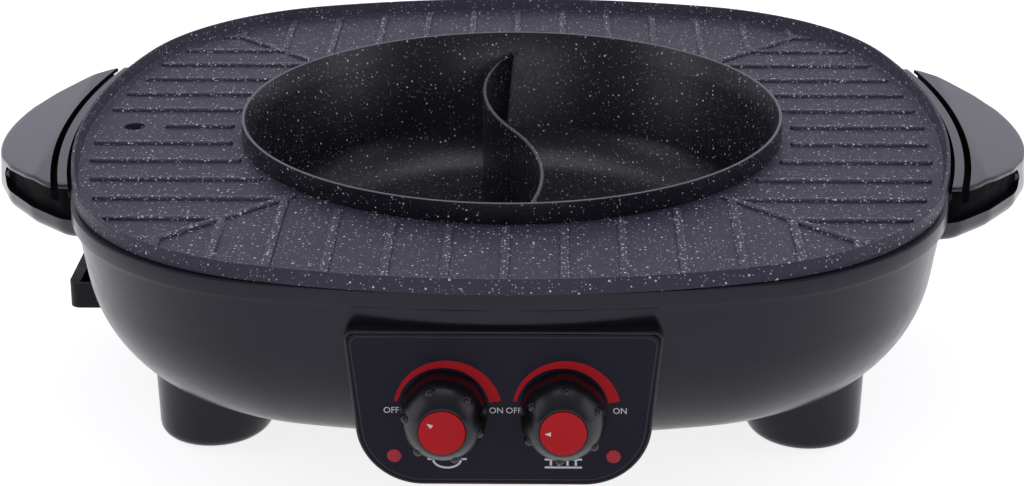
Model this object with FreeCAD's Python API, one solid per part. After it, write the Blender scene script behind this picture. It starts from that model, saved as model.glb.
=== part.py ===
import FreeCAD
import Part
import math
import os

# Table grill with a drop-in divided hot pot. Millimetres, floor at z = 0, pot axis at
# x = y = 0, control panel towards -y, handles on the two x sides.

V = FreeCAD.Vector
UP = V(0, 0, 1)

# Driving dimensions of the cooking plate
cook_h = 110.0           # height of the cooking surface above the floor
plate_half = 194.0       # half width of the plate at the foot of its lip
plate_side_r = 355.0     # radius of the bulged sides in plan
plate_corner_r = 118.0   # radius of the corners in plan
plate_t = 4.0            # thickness of the plate floor
lip_h = 5.9              # height of the lip above the cooking surface
lip_top_w = 1.9          # width of the flat on top of the lip
lip_lean = 0.8           # how far the lip leans in over its height
lip_slope_w = 2.4        # width of the inner slope of the lip
rim_seat_drop = 0.3      # drop of the lip's foot below the cooking surface
pan_clear = 1.2          # gap between the plate's pan and the inside of the base
rib_w = 4.0
rib_h = 1.2
rib_pitch = 23.2
rib_sink = 0.5           # depth of a rib's foot in the plate, so that they fuse
rib_end_gap = 5.0        # bare margin between a rib's end and the lip or the pot
drain_x = -171.5         # oil drain hole
drain_r = 4.7
drain_margin = 9.0       # bare plate round the drain hole

# Driving dimensions of the pot
pot_r = 119.3            # outer radius of the pot below the plate
collar_lap = 2.2         # reach of the collar over the plate's opening
collar_h = 9.1           # height of the rim above the cooking surface
rim_t = 1.3              # thickness of the machined rim
neck_drop = 1.0          # depth below the cooking surface where the inside starts to flare
pot_wall = 2.4
pot_floor_t = 3.0
pot_depth = 62.0         # rim to inner floor
pot_taper = 9.0          # how much narrower the pot gets before the floor bend
pot_bend_r = 30.0        # bend between wall and floor
hole_clear = 0.3         # clearance between pot and plate opening
divider_t = 2.0
divider_drop = 9.5       # top of the divider below the rim
divider_bow = 14.0       # sideways reach of each half of the S
divider_clear = 0.05

# Driving dimensions of the base
base_half = 191.5        # half width of the base at its rim
base_side_ratio = 2.40   # side radius over half width
base_corner_ratio = 0.57 # corner radius over half width
base_wall = 2.6
base_depth = 79.5        # cooking surface to underside
base_draft = 8.6         # degrees
knee_r = 68.0            # upper bend of the bowl
heel_r = 36.0            # lower bend of the bowl
knee_turn = 44.0         # degrees from the vertical where the two bends meet
band_h = 7.0             # height of the raised band under the rim
band_t = 0.8
seat_gap = 0.3           # gap of pieces that rest on each other
cut_past = 5.0           # how far a cutting solid runs past the face that it opens

# Feet
foot_x = 128.0
foot_y = 84.0
foot_r = 23.0
foot_top_r = 35.0
foot_top_in = 9.0        # shift of the foot's top towards the middle
foot_into_bowl = 16.0    # height of the foot's cone above the bowl's underside
foot_wall = 3.0
foot_edge_r = 5.0
pad_r = 14.0
pad_h = 3.0
pad_proud = 1.0

# Control panel
panel_y = 192.0          # distance of the panel's face from the pot axis
panel_top = 94.5
panel_bottom = 28.6
panel_half_top = 61.5
panel_half_mid = 57.5
panel_half_bottom = 42.0
panel_knee_z = 52.0      # height where the sides turn in
panel_corner_r = 3.5
panel_wall = 2.4
panel_back_y = 132.0
fascia_t = 1.2
fascia_inset = 1.3
fascia_clear = 0.15
window_half = 50.0       # window in the bowl behind the panel
window_low = 44.0
window_high = 88.0

# Knobs and switch gear
knob_x = 22.8
knob_z = 61.0
knob_r = 16.9
knob_top_r = 10.6
knob_h = 19.4
knob_gap = 0.7           # gap between knob and fascia
knob_wall = 2.0
nub_r = 2.1
nub_count = 8
cap_r = 8.9
cap_t = 1.6
cap_proud = 0.7
shaft_r = 3.0
shaft_clear = 0.1
bush_r = 4.6
bush_clear = 0.3
stat_w = 30.0
stat_h = 26.0
stat_d = 18.0
nut_af = 12.0
nut_t = 2.0
lens_x = 42.3
lens_z = 41.8
lens_r = 2.75
lens_proud = 0.6
lamp_r = 3.2
lamp_l = 14.0
left_rest = 36.5         # left knob stands this far from OFF, degrees

# Handles
grip_reach = 230.0       # outermost point of the handles
grip_corner_x = 224.0
grip_corner_y = 43.0
grip_end_x = 190.0
grip_end_y = 88.0
grip_root_w = 18.0       # width of the handle's block inside the bowl's outline, before the bowl is cut
grip_h = 20.5
grip_top_drop = 1.0      # top of the grip below the cooking surface
grip_fall = 5.5          # further fall of the top towards the outside
grip_wall = 4.0
grip_end_r = 16.0
grip_corner_r = 20.0
grip_low_r = 6.0
ledge_w = 5.5            # ledge between the plate's edge and the slot
slot_w = 3.0
slot_depth = 7.0
root_t = 9.0             # solid part of the handle against the base
grip_screw_y = 30.0
grip_screw_drop = 16.0
grip_screw_l = 9.0

# Heating and wiring
tube_r = 3.25
grill_tube_half = 137.0
grill_tube_corner = 60.0
pot_tube_half = 68.0
pot_tube_bend = 47.6
leg_gap = 14.0           # half distance between the two legs of an element
leg_bend = 6.0
grill_leg_end = 168.0
pot_leg_end = 158.0
clip_w = 9.0
clip_t = 1.0
clip_along = 40.0        # distance of a clip from the middle of its side
tray_half = 154.0
tray_floor_half = 138.0
tray_corner_r = 60.0
tray_t = 1.0
tray_flange = 8.0
tray_floor_drop = 67.0   # cooking surface to the top of the tray's floor
post_r = 5.0
screw_r = 1.6
screw_head_r = 3.2
screw_head_t = 1.8

# Mains inlet at the back
inlet_z = 66.0
inlet_w = 34.0
inlet_h = 24.0
inlet_flange = 5.0
inlet_depth = 22.0
inlet_y = 189.0
inlet_screw_l = 8.0
inlet_flange_t = 2.5
pin_r = 2.0
pin_pitch = 13.0
pin_l = 14.0

# Drip cup on the left
cup_out = 202.0          # distance of the cup's front from the pot axis
cup_in = 143.0
cup_half = 21.0
cup_top = 41.5
cup_low = 29.5
cup_wall = 1.8
cup_front_t = 5.0
runner_clear = 0.3
runner_t = 1.6
runner_out = 163.0       # mouth of the cup's channel
runner_in = 141.0
spout_r = 8.0
spout_t = 1.2

# Wiring inside the bowl
lead_r = 1.6
lead_x = 88.0
lead_front = 122.0
lead_rise = 12.0         # how far behind the switch tabs the leads come up
lead_bend = 14.0
lead_tight = 7.0
block_half = 24.0
block_y = 114.0
block_d = 16.0
block_h = 8.0
fuse_r = 3.0
tab_l = 7.0


def squircle(half, side_r, corner_r, z):
    """Closed plan curve of four side arcs and four corner arcs, all tangent."""
    side_c = half - side_r
    reach = math.sqrt(max(2 * (side_r - corner_r) ** 2 - side_c ** 2, 0.0))
    t = (side_c + reach) / 2
    length = math.hypot(t - side_c, t)
    tx = t + corner_r * (t - side_c) / length
    ty = t + corner_r * t / length
    d = t + corner_r * math.sqrt(0.5)
    edges = []
    for turn in range(4):
        corners = [V(tx, -ty, z), V(half, 0, z), V(tx, ty, z), V(d, d, z), V(ty, tx, z)]
        quarter = Part.Shape(Part.Wire([Part.Arc(*corners[:3]).toShape(),
                                        Part.Arc(*corners[2:]).toShape()]))
        quarter.rotate(V(0, 0, 0), UP, 90 * turn)
        edges += quarter.Edges
    return Part.Wire(edges)


def plate_curve(inset, z):
    """The plate's outline, offset inwards."""
    return squircle(plate_half - inset, plate_side_r - inset, plate_corner_r - inset, z)


def base_curve(half, z, inset=0.0):
    """The bowl's outline at one height: a scaled curve, then offset inwards."""
    side_r = half * base_side_ratio - inset
    corner_r = half * base_corner_ratio - inset
    return squircle(half - inset, side_r, corner_r, z)


def loft(wires, ruled=True):
    return Part.makeLoft(wires, True, ruled)


def prism(wire, height):
    return Part.Face(wire).extrude(V(0, 0, height))


def cyl(r, h, at, axis=UP):
    return Part.makeCylinder(r, h, at, axis)


def box(x0, x1, y0, y1, z0, z1):
    return Part.makeBox(x1 - x0, y1 - y0, z1 - z0, V(x0, y0, z0))


def polygon(points):
    return Part.makePolygon(points + [points[0]])


def mirror_x(shape):
    return shape.mirror(V(0, 0, 0), V(1, 0, 0))


def group(shapes):
    return Part.makeCompound(shapes)


def fuse(shapes):
    whole = shapes[0]
    if len(shapes) > 1:
        whole = whole.multiFuse(shapes[1:])
    return whole.removeSplitter()


def save(name, shape):
    result = shape.Solids[0]
    if len(shape.Solids) > 1:
        result = Part.makeCompound(shape.Solids)
    if not result.isValid():
        print("not valid:", name)
    result.exportStep("parts/%s.step" % name)


# Places and sizes that follow from the driving dimensions
collar_r = pot_r + collar_lap
rim_z = cook_h + collar_h
lip_foot_z = cook_h - rim_seat_drop
pan_low_z = cook_h - plate_t
base_top = lip_foot_z - seat_gap
base_low = cook_h - base_depth
pot_floor_z = rim_z - pot_depth
pot_low_z = pot_floor_z - pot_floor_t
grill_tube_z = pan_low_z - seat_gap - tube_r
pot_tube_z = pot_low_z - seat_gap - tube_r
flange_z = grill_tube_z - tube_r - clip_t
tray_floor_z = cook_h - tray_floor_drop
divider_top = rim_z - divider_drop


# Cooking plate
def make_plate():
    inner_top = lip_lean + lip_top_w
    inner_foot = inner_top + lip_slope_w
    rim = loft([plate_curve(0, lip_foot_z), plate_curve(lip_lean, cook_h + lip_h)])
    pan = prism(base_curve(base_half, pan_low_z, base_wall + pan_clear), plate_t)
    pan = pan.common(prism(plate_curve(inner_foot, pan_low_z), plate_t)
                     .fuse(prism(plate_curve(lip_lean + lip_top_w, pan_low_z), plate_t - rim_seat_drop)))
    body = rim.fuse(pan)
    well = loft([plate_curve(inner_foot, cook_h), plate_curve(inner_top, cook_h + lip_h)])
    body = body.cut(well)
    body = body.fuse(make_ribs(inner_foot))
    opening = cyl(pot_r + hole_clear, plate_t + 2, V(0, 0, pan_low_z - 1))
    drain = cyl(drain_r, plate_t + 2, V(drain_x, 0, pan_low_z - 1))
    return body.cut(opening).cut(drain).removeSplitter()


def make_ribs(inner_foot):
    low = cook_h - rib_sink
    field = prism(plate_curve(inner_foot + rib_end_gap, low), rib_h + rib_sink)
    field = field.cut(cyl(collar_r + rib_end_gap, rib_h + 2 * rib_sink, V(0, 0, low)))
    side = plate_half
    ribs = []
    count = int((plate_half - inner_foot) / rib_pitch)
    for k in range(-count, count + 1):
        at = k * rib_pitch
        start = abs(at) + rib_sink
        for sign in (-1, 1):
            x0, x1 = sorted((sign * start, sign * side))
            bar = box(x0, x1, at - rib_w / 2, at + rib_w / 2, low, cook_h + rib_h)
            if k == 0 and sign < 0:
                gap_r = drain_r + drain_margin
                bar = bar.cut(box(drain_x - gap_r, drain_x + gap_r, -rib_w, rib_w, low - 1, rim_z))
            ribs.append(bar)
            ribs.append(box(at - rib_w / 2, at + rib_w / 2, x0, x1, low, cook_h + rib_h))
    for quarter in range(4):
        bar = box(0, 2 * side, -rib_w / 2, rib_w / 2, low, cook_h + rib_h)
        bar.rotate(V(0, 0, 0), UP, 45 + 90 * quarter)
        ribs.append(bar)
    whole = ribs[0].multiFuse(ribs[1:])
    return whole.common(field)


# Pot and its divider
def pot_inner_profile():
    """Inside of the pot from the rim down to the axis, as (radius, height) edges."""
    top_r = collar_r - rim_t
    neck_r = pot_r - pot_wall
    neck_z = cook_h - neck_drop
    foot_r = neck_r - pot_taper
    bend_z = pot_floor_z + pot_bend_r
    a = V(top_r, 0, rim_z)
    b = V(neck_r, 0, neck_z)
    lean = math.atan2(pot_taper, neck_z - bend_z)
    turn = pot_bend_r * math.cos(lean)
    c = V(foot_r, 0, pot_floor_z + pot_bend_r * (1 - math.sin(lean)))
    centre = V(foot_r - turn, 0, bend_z)
    mid = (math.pi / 2 + lean) / 2
    m = centre + V(pot_bend_r * math.sin(mid), 0, -pot_bend_r * math.cos(mid))
    d = V(centre.x, 0, pot_floor_z)
    return a, b, c, m, d


def pot_cavity():
    a, b, c, m, d = pot_inner_profile()
    top = V(a.x, 0, rim_z + cut_past)
    axis_top = V(0, 0, rim_z + cut_past)
    axis_low = V(0, 0, pot_floor_z)
    edges = [Part.LineSegment(axis_low, d).toShape(),
             Part.Arc(d, m, c).toShape(),
             Part.LineSegment(c, b).toShape(),
             Part.LineSegment(b, a).toShape(),
             Part.LineSegment(a, top).toShape(),
             Part.LineSegment(top, axis_top).toShape(),
             Part.LineSegment(axis_top, axis_low).toShape()]
    return Part.Face(Part.Wire(edges)).revolve(V(0, 0, 0), UP, 360)


def make_pot():
    a, b, c, m, d = pot_inner_profile()
    out = V(pot_wall, 0, 0)
    centre = V(d.x, 0, pot_floor_z + pot_bend_r)
    grow = (pot_bend_r + pot_wall) / pot_bend_r
    c_out = V(c.x + pot_wall, 0, c.z)
    m_out = centre + (m - centre) * grow
    m_out.z = m_out.z - (pot_floor_t - pot_wall) / 2
    d_out = V(d.x, 0, pot_low_z)
    edges = [Part.LineSegment(V(0, 0, pot_low_z), d_out).toShape(),
             Part.Arc(d_out, m_out, c_out).toShape(),
             Part.LineSegment(c_out, V(pot_r, 0, cook_h)).toShape(),
             Part.LineSegment(V(pot_r, 0, cook_h), V(collar_r, 0, cook_h)).toShape(),
             Part.LineSegment(V(collar_r, 0, cook_h), V(collar_r, 0, rim_z)).toShape(),
             Part.LineSegment(V(collar_r, 0, rim_z), V(0, 0, rim_z)).toShape(),
             Part.LineSegment(V(0, 0, rim_z), V(0, 0, pot_low_z)).toShape()]
    block = Part.Face(Part.Wire(edges)).revolve(V(0, 0, 0), UP, 360)
    return block.cut(pot_cavity())


def make_divider():
    """Upright S wall: two arcs of opposite bow, given a thickness and trimmed by the pot."""
    end = collar_r
    half = divider_t / 2

    def s_edges(shift):
        upper = Part.Arc(V(shift, end, 0), V(shift - divider_bow, end / 2, 0), V(shift, 0, 0))
        lower = Part.Arc(V(shift, 0, 0), V(shift + divider_bow, -end / 2, 0), V(shift, -end, 0))
        return upper.toShape(), lower.toShape()

    left_up, left_low = s_edges(-half)
    right_up, right_low = s_edges(half)
    far = Part.LineSegment(V(-half, end, 0), V(half, end, 0)).toShape()
    near = Part.LineSegment(V(-half, -end, 0), V(half, -end, 0)).toShape()
    wire = Part.Wire(Part.__sortEdges__([left_up, left_low, near, right_low, right_up, far]))
    wall = Part.Face(wire).extrude(V(0, 0, divider_top))
    return wall.common(pot_cavity())


# Base bowl
def bowl_levels(offset):
    """(half width, height) down the bowl's wall, offset inwards along its normal."""
    draft = math.radians(base_draft)
    turn = math.radians(knee_turn)
    bend_h = knee_r * (math.sin(turn) - math.sin(draft)) + heel_r * (1 - math.sin(turn))
    straight = base_top - base_low - bend_h
    w = base_half
    z = base_top
    levels = [(w - offset * math.cos(draft), z + offset * math.sin(draft))]
    w -= straight * math.tan(draft)
    z -= straight
    levels.append((w - offset * math.cos(draft), z + offset * math.sin(draft)))
    angle = draft
    for radius, end, steps in ((knee_r, turn, 3), (heel_r, math.pi / 2, 3)):
        start = angle
        w0, z0 = w, z
        for k in range(1, steps + 1):
            angle = start + (end - start) * k / steps
            w = w0 - radius * (math.cos(start) - math.cos(angle))
            z = z0 - radius * (math.sin(angle) - math.sin(start))
            levels.append((w - offset * math.cos(angle), z + offset * math.sin(angle)))
    return levels


def bowl_solid(offset, extra_top=0.0):
    levels = bowl_levels(offset)
    wires = [base_curve(w + offset, z, offset) for w, z in levels]
    wall = loft(wires[:2])
    bend = loft(wires[1:], ruled=False)
    solid = wall.fuse(bend)
    if extra_top > 0:
        w, z = levels[0]
        cap = prism(base_curve(w + offset, z - 0.01, offset), extra_top)
        solid = solid.fuse(cap)
    return solid


def foot_solid(shrink, low):
    """One foot: an oblique cone frustum under the front right corner."""
    top_z = base_low + foot_into_bowl
    grow = (foot_top_r - foot_r) / top_z
    shift = foot_top_in / top_z
    wires = []
    for z in (low, top_z):
        centre = V(foot_x - shift * z, -foot_y + shift * z, z)
        circle = Part.Circle(centre, UP, foot_r - shrink + grow * z)
        wires.append(Part.Wire(circle.toShape()))
    return loft(wires)


def four(shape):
    side = mirror_x(shape)
    back = [piece.mirror(V(0, 0, 0), V(0, 1, 0)) for piece in (shape, side)]
    return [shape, side] + back


def rounded(edge_shape, radius, pick):
    edges = [edge for edge in edge_shape.Edges if pick(edge)]
    return edge_shape.makeFillet(radius, edges)


def make_band():
    return prism(base_curve(base_half + band_t, base_top - band_h), band_h)


def make_feet(bowl):
    """Hollow feet that fit the bowl's underside, each with a pocket for its pad."""
    foot = foot_solid(0, pad_proud)
    foot = rounded(foot, foot_edge_r, lambda e: abs(e.BoundBox.ZMax - pad_proud) < 0.01)
    foot = foot.cut(foot_solid(foot_wall, pad_h + foot_wall))
    foot = foot.cut(cyl(pad_r, pad_h, V(foot_x, -foot_y, 0))).cut(bowl)
    return group(four(foot))


def make_base(bowl, hollow):
    shell = bowl.fuse(make_band()).fuse(inlet_pad()).cut(hollow)
    cuts = [window_cut(), cover_opening(0), cover_recess(), inlet_hole(0), spout_cut(), channel_slot()]
    cuts += grip_screw_holes() + [mirror_x(hole) for hole in grip_screw_holes()]
    cuts += [cyl(screw_r, inlet_screw_l + 1, at, V(0, -1, 0)) for at in inlet_screw_points()]
    for at in screw_points():
        cuts.append(cyl(screw_r, 12, V(at[0], at[1], base_low - 1)))
    shell = shell.cut(group(cuts))
    posts = []
    floor = base_low + base_wall
    for x, y in tray_posts():
        post = cyl(post_r, flange_z - tray_t - floor + 1.0, V(x, y, floor - 1.0))
        posts.append(post.cut(cyl(screw_r, 9, V(x, y, flange_z - 9))).common(bowl))
    return fuse([shell] + posts)


def tray_posts():
    corner = curve_corner(tray_half + tray_flange / 2)
    return [(sx * corner, sy * corner) for sx in (-1, 1) for sy in (-1, 1)]


def curve_corner(half):
    """Half the corner diagonal of the tray's curve, along x or y."""
    side_r = half * base_side_ratio
    side_c = half - side_r
    t = (side_c + math.sqrt(2 * (side_r - tray_corner_r) ** 2 - side_c ** 2)) / 2
    return t + tray_corner_r * math.sqrt(0.5)


# Bottom cover
cover_half_x = 70.0
cover_half_y = 96.0
cover_corner_r = 16.0
cover_lap = 8.0
cover_t = 1.6
cover_clear = 0.3


def rounded_plate(half_x, half_y, corner_r, z, h):
    block = box(-half_x, half_x, -half_y, half_y, z, z + h)
    return rounded(block, corner_r, lambda e: e.BoundBox.ZLength > h * 0.9)


def cover_opening(clear):
    return rounded_plate(cover_half_x - clear, cover_half_y - clear, cover_corner_r,
                         base_low - 1, base_wall + 2)


def cover_recess():
    return rounded_plate(cover_half_x + cover_lap, cover_half_y + cover_lap, cover_corner_r,
                         base_low - 1, 1 + cover_t)


def screw_points():
    x = cover_half_x + cover_lap / 2
    y = cover_half_y + cover_lap / 2
    return [(-x, 0), (x, 0), (-x * 0.8, y), (x * 0.8, y), (-x * 0.8, -y), (x * 0.8, -y)]


def make_cover():
    cover = rounded_plate(cover_half_x + cover_lap - cover_clear,
                          cover_half_y + cover_lap - cover_clear, cover_corner_r,
                          base_low, cover_t)
    cuts = []
    for row in (-1, 1):
        for k in range(-4, 5):
            x = k * 11.0
            y = row * 48.0
            cuts.append(box(x - 2.0, x + 2.0, y - 22.0, y + 22.0, base_low - 1, base_low + 3))
    for x, y in screw_points():
        cuts.append(cyl(screw_r, 6, V(x, y, base_low - 1)))
    return cover.cut(group(cuts))


def screw(at, axis, length):
    """Domed screw: head outside, shank along the axis."""
    head = cyl(screw_head_r, screw_head_t, at - axis * screw_head_t, axis)
    shank = cyl(screw_r - 0.05, length, at, axis)
    return head.fuse(shank).removeSplitter()


# Control panel housing, fascia and window
def panel_wire(inset, y, grow=0.0):
    """Shield outline: straight top, sides that lean in, wide rounded lower corners."""
    top = panel_top - inset + grow
    low = panel_bottom + inset - grow
    xt = panel_half_top - inset + grow
    xm = panel_half_mid - inset + grow
    xb = panel_half_bottom - inset * 0.4 + grow
    r = panel_corner_r
    bow = 0.72
    cx = xb + (xm - xb) * bow
    cz = low + (panel_knee_z - low) * (1 - bow)
    pts = [V(-xt + r, -y, top), V(xt - r, -y, top)]
    edges = [Part.LineSegment(pts[0], pts[1]).toShape()]
    k = r * (1 - math.sqrt(0.5))
    for s in (1, -1):
        a = V(s * (xt - r), -y, top)
        m = V(s * (xt - k), -y, top - k)
        b = V(s * xt, -y, top - r)
        c = V(s * xm, -y, panel_knee_z)
        n = V(s * cx, -y, cz)
        d = V(s * xb, -y, low)
        edges += [Part.Arc(a, m, b).toShape(), Part.LineSegment(b, c).toShape(),
                  Part.Arc(c, n, d).toShape()]
    edges.append(Part.LineSegment(V(-xb, -y, low), V(xb, -y, low)).toShape())
    return Part.Wire(Part.__sortEdges__(edges))


def window_cut():
    return box(-window_half, window_half, -panel_y, -panel_back_y, window_low, window_high)


def make_housing(outside):
    body = loft([panel_wire(0, panel_y), panel_wire(0, panel_back_y, 2.0)])
    hollow = loft([panel_wire(panel_wall, panel_y - panel_wall - fascia_t),
                   panel_wire(panel_wall, panel_back_y - 1, 2.0)])
    recess = Part.Face(panel_wire(fascia_inset, panel_y + 1)).extrude(V(0, fascia_t + 1, 0))
    cuts = [hollow, recess]
    front = V(0, 1, 0)
    for s in (-1, 1):
        cuts.append(cyl(bush_r + bush_clear, 10, V(s * knob_x, -panel_y, knob_z), front))
        cuts.append(cyl(lens_r + 0.1, 10, V(s * lens_x, -panel_y, lens_z), front))
    return body.cut(outside).cut(group(cuts))


def make_fascia():
    inset = fascia_inset + fascia_clear
    plate = Part.Face(panel_wire(inset, panel_y)).extrude(V(0, fascia_t, 0))
    front = V(0, 1, 0)
    cuts = []
    for s in (-1, 1):
        cuts.append(cyl(bush_r + bush_clear, 10, V(s * knob_x, -panel_y - 1, knob_z), front))
        cuts.append(cyl(lens_r + 0.1, 10, V(s * lens_x, -panel_y - 1, lens_z), front))
    return plate.cut(group(cuts))


# Knobs, built about the z axis and then laid towards -y
def lay(shape, x):
    """Turn a piece built upwards so that it points out of the panel at one knob."""
    moved = shape.copy()
    moved.rotate(V(0, 0, 0), V(1, 0, 0), 90)
    moved.translate(V(x, -panel_y, knob_z))
    return moved


def knob_profile(shrink):
    base_z = knob_gap
    top_z = knob_h - shrink
    r0 = knob_r - shrink
    r1 = knob_top_r - shrink * 0.6
    return r0, r1, base_z, top_z


def make_knob():
    r0, r1, base_z, top_z = knob_profile(0)
    shoulder = base_z + 4.0
    a = V(0, 0, base_z)
    b = V(r0, 0, base_z)
    c = V(r0 - 0.4, 0, shoulder)
    mid = V(r1 + (r0 - r1) * 0.62, 0, shoulder + (top_z - shoulder) * 0.66)
    d = V(r1, 0, top_z)
    e = V(0, 0, top_z)
    edges = [Part.LineSegment(a, b).toShape(), Part.LineSegment(b, c).toShape(),
             Part.Arc(c, mid, d).toShape(), Part.LineSegment(d, e).toShape(),
             Part.LineSegment(e, a).toShape()]
    body = Part.Face(Part.Wire(edges)).revolve(V(0, 0, 0), UP, 360)
    nubs = []
    for k in range(nub_count):
        angle = 2 * math.pi * (k + 0.5) / nub_count
        at = V(mid.x * math.cos(angle), mid.x * math.sin(angle), mid.z - 1.2)
        nubs.append(Part.makeSphere(nub_r, at))
    body = body.multiFuse(nubs)
    cap_hole = cyl(cap_r, cap_t, V(0, 0, top_z - cap_t + cap_proud))
    hollow = cyl(r0 - 0.4 - knob_wall, nut_t + 1.3, V(0, 0, base_z))
    bore = cyl(shaft_r + 0.02, 12.0, V(0, 0, base_z))
    return body.cut(hollow).cut(cap_hole).cut(bore).removeSplitter()


def make_cap():
    low = knob_h - cap_t + cap_proud
    cap = cyl(cap_r - 0.05, cap_t, V(0, 0, low))
    return rounded(cap, 0.4, lambda e: abs(e.BoundBox.ZMin - low - cap_t) < 0.01)


def make_pointer():
    """Small triangle on the cap that points along +x."""
    z = knob_h + cap_proud
    tip = cap_r * 0.84
    tail = cap_r * 0.5
    half = cap_r * 0.13
    wire = polygon([V(tip, 0, z), V(tail, half, z), V(tail, -half, z)])
    return Part.Face(wire).extrude(V(0, 0, 0.2))


def make_shaft():
    inner = stat_d + panel_wall + fascia_t + seat_gap - 4.0
    rod = cyl(shaft_r, inner + knob_gap + 10.0, V(0, 0, -inner))
    return rod


def make_thermostat():
    back = fascia_t + panel_wall
    z1 = -back
    body = box(-stat_w / 2, stat_w / 2, -stat_h / 2, stat_h / 2, z1 - stat_d, z1)
    bush = cyl(bush_r, back + nut_t + 0.3, V(0, 0, z1))
    bore = cyl(shaft_r + shaft_clear, 100, V(0, 0, -60))
    tabs = [box(-12.5 + 8 * k, -9.5 + 8 * k, -4, 4, z1 - stat_d - tab_l, z1 - stat_d)
            for k in range(4)]
    tabs = [tab for tab in tabs if abs(tab.CenterOfMass.x) > shaft_r + 2.5]
    whole = body.multiFuse([bush] + tabs)
    return whole.cut(bore).removeSplitter()


def make_nut():
    """Hexagon nut that clamps the thermostat's bush to the panel."""
    corner = nut_af / 2 / math.cos(math.pi / 6)
    ring = [V(corner * math.cos(math.pi / 3 * k), corner * math.sin(math.pi / 3 * k), 0)
            for k in range(6)]
    nut = Part.Face(polygon(ring)).extrude(V(0, 0, nut_t))
    return nut.cut(cyl(bush_r, nut_t + 2, V(0, 0, -1)))


def turned(shape, angle):
    """Rotate about the z axis, seen from the front anticlockwise."""
    copy = shape.copy()
    copy.rotate(V(0, 0, 0), UP, angle)
    return copy


def make_controls():
    rest = {"left": (-knob_x, 180.0 - left_rest), "right": (knob_x, 180.0)}
    for side, (x, angle) in rest.items():
        save(side + "_knob", lay(turned(make_knob(), angle), x))
        save(side + "_knob_cap", lay(make_cap(), x))
        save(side + "_pointer", lay(turned(make_pointer(), angle), x))
        save(side + "_shaft", lay(make_shaft(), x))
        save(side + "_thermostat", lay(make_thermostat(), x))
    save("thermostat_nuts", group([lay(make_nut(), x) for x, angle in rest.values()]))
    lenses = []
    lamps = []
    for s in (-1, 1):
        at = V(s * lens_x, -panel_y - lens_proud, lens_z)
        lens = cyl(lens_r, lens_proud + fascia_t + panel_wall, at, V(0, 1, 0))
        lenses.append(rounded(lens, 0.5, lambda e: abs(e.BoundBox.YMax + panel_y + lens_proud) < 0.01))
        back = V(s * lens_x, -panel_y + fascia_t + panel_wall, lens_z)
        lamps.append(cyl(lamp_r, lamp_l, back, V(0, 1, 0)))
    save("indicator_lenses", group(lenses))
    save("neon_lamps", group(lamps))


# Handles
def grip_solid():
    top = cook_h - grip_top_drop
    low = top - grip_h
    root_x = grip_end_x - grip_root_w
    a = V(root_x, -grip_end_y, low)
    b = V(grip_end_x, -grip_end_y, low)
    c = V(grip_corner_x, -grip_corner_y, low)
    m = V(grip_reach, 0, low)
    d = V(grip_corner_x, grip_corner_y, low)
    e = V(grip_end_x, grip_end_y, low)
    f = V(root_x, grip_end_y, low)
    edges = [Part.LineSegment(a, b).toShape(), Part.LineSegment(b, c).toShape(),
             Part.Arc(c, m, d).toShape(), Part.LineSegment(d, e).toShape(),
             Part.LineSegment(e, f).toShape(), Part.LineSegment(f, a).toShape()]
    return Part.Face(Part.Wire(edges)).extrude(V(0, 0, grip_h))


def base_face(y, z, offset):
    """Distance of the bowl's side wall from the pot axis plane, at one height."""
    half = base_half - (base_top - z) * math.tan(math.radians(base_draft))
    side_r = half * base_side_ratio
    return half - side_r + math.sqrt(side_r ** 2 - y ** 2) - offset / math.cos(math.radians(base_draft))


def grip_screws():
    """Screws from inside the bowl into the root of the right handle."""
    z = cook_h - grip_screw_drop
    found = []
    for y in (-grip_screw_y, grip_screw_y):
        x = base_face(y, z - screw_head_r, base_wall)
        found.append(screw(V(x, y, z), V(1, 0, 0), grip_screw_l))
    return found


def grip_screw_holes():
    z = cook_h - grip_screw_drop
    holes = []
    for y in (-grip_screw_y, grip_screw_y):
        x = base_face(y, z - screw_head_r, base_wall)
        holes.append(cyl(screw_r, grip_screw_l + 1 + 2, V(x - 2, y, z), V(1, 0, 0)))
    return holes


def near_line(edge, x, y):
    bounds = edge.BoundBox
    upright = bounds.ZLength > grip_h * 0.9
    return upright and abs(bounds.XMin - x) < 0.1 and abs(abs(bounds.YMin) - y) < 0.1


def make_handle(base_outside):
    block = grip_solid()
    block = rounded(block, grip_corner_r, lambda e: near_line(e, grip_corner_x, grip_corner_y))
    block = rounded(block, grip_end_r, lambda e: near_line(e, grip_end_x, grip_end_y))
    low = cook_h - grip_top_drop - grip_h
    top = cook_h - grip_top_drop
    root_x = grip_end_x - grip_root_w
    block = rounded(block, grip_low_r,
                    lambda e: abs(e.BoundBox.ZMax - low) < 0.01 and e.BoundBox.XMin > root_x + 1)
    start = plate_half + ledge_w + slot_w
    wedge = polygon([V(start, 0, top), V(grip_reach + 5, 0, top + 5),
                     V(grip_reach + 5, 0, top - grip_fall)])
    wedge = Part.Face(wedge).extrude(V(0, 2 * grip_end_y + 20, 0))
    wedge.translate(V(0, -grip_end_y - 10, 0))
    block = block.cut(wedge)
    edge_in = -ledge_w
    edge_out = -ledge_w - slot_w
    ring = prism(plate_curve(edge_out, top - slot_depth), slot_depth + 1)
    ring = ring.cut(prism(plate_curve(edge_in, top - slot_depth - 1), slot_depth + 3))
    cavity = finger_hollow()
    return block.cut(ring).cut(cavity).cut(base_outside).cut(group(grip_screw_holes()))


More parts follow.
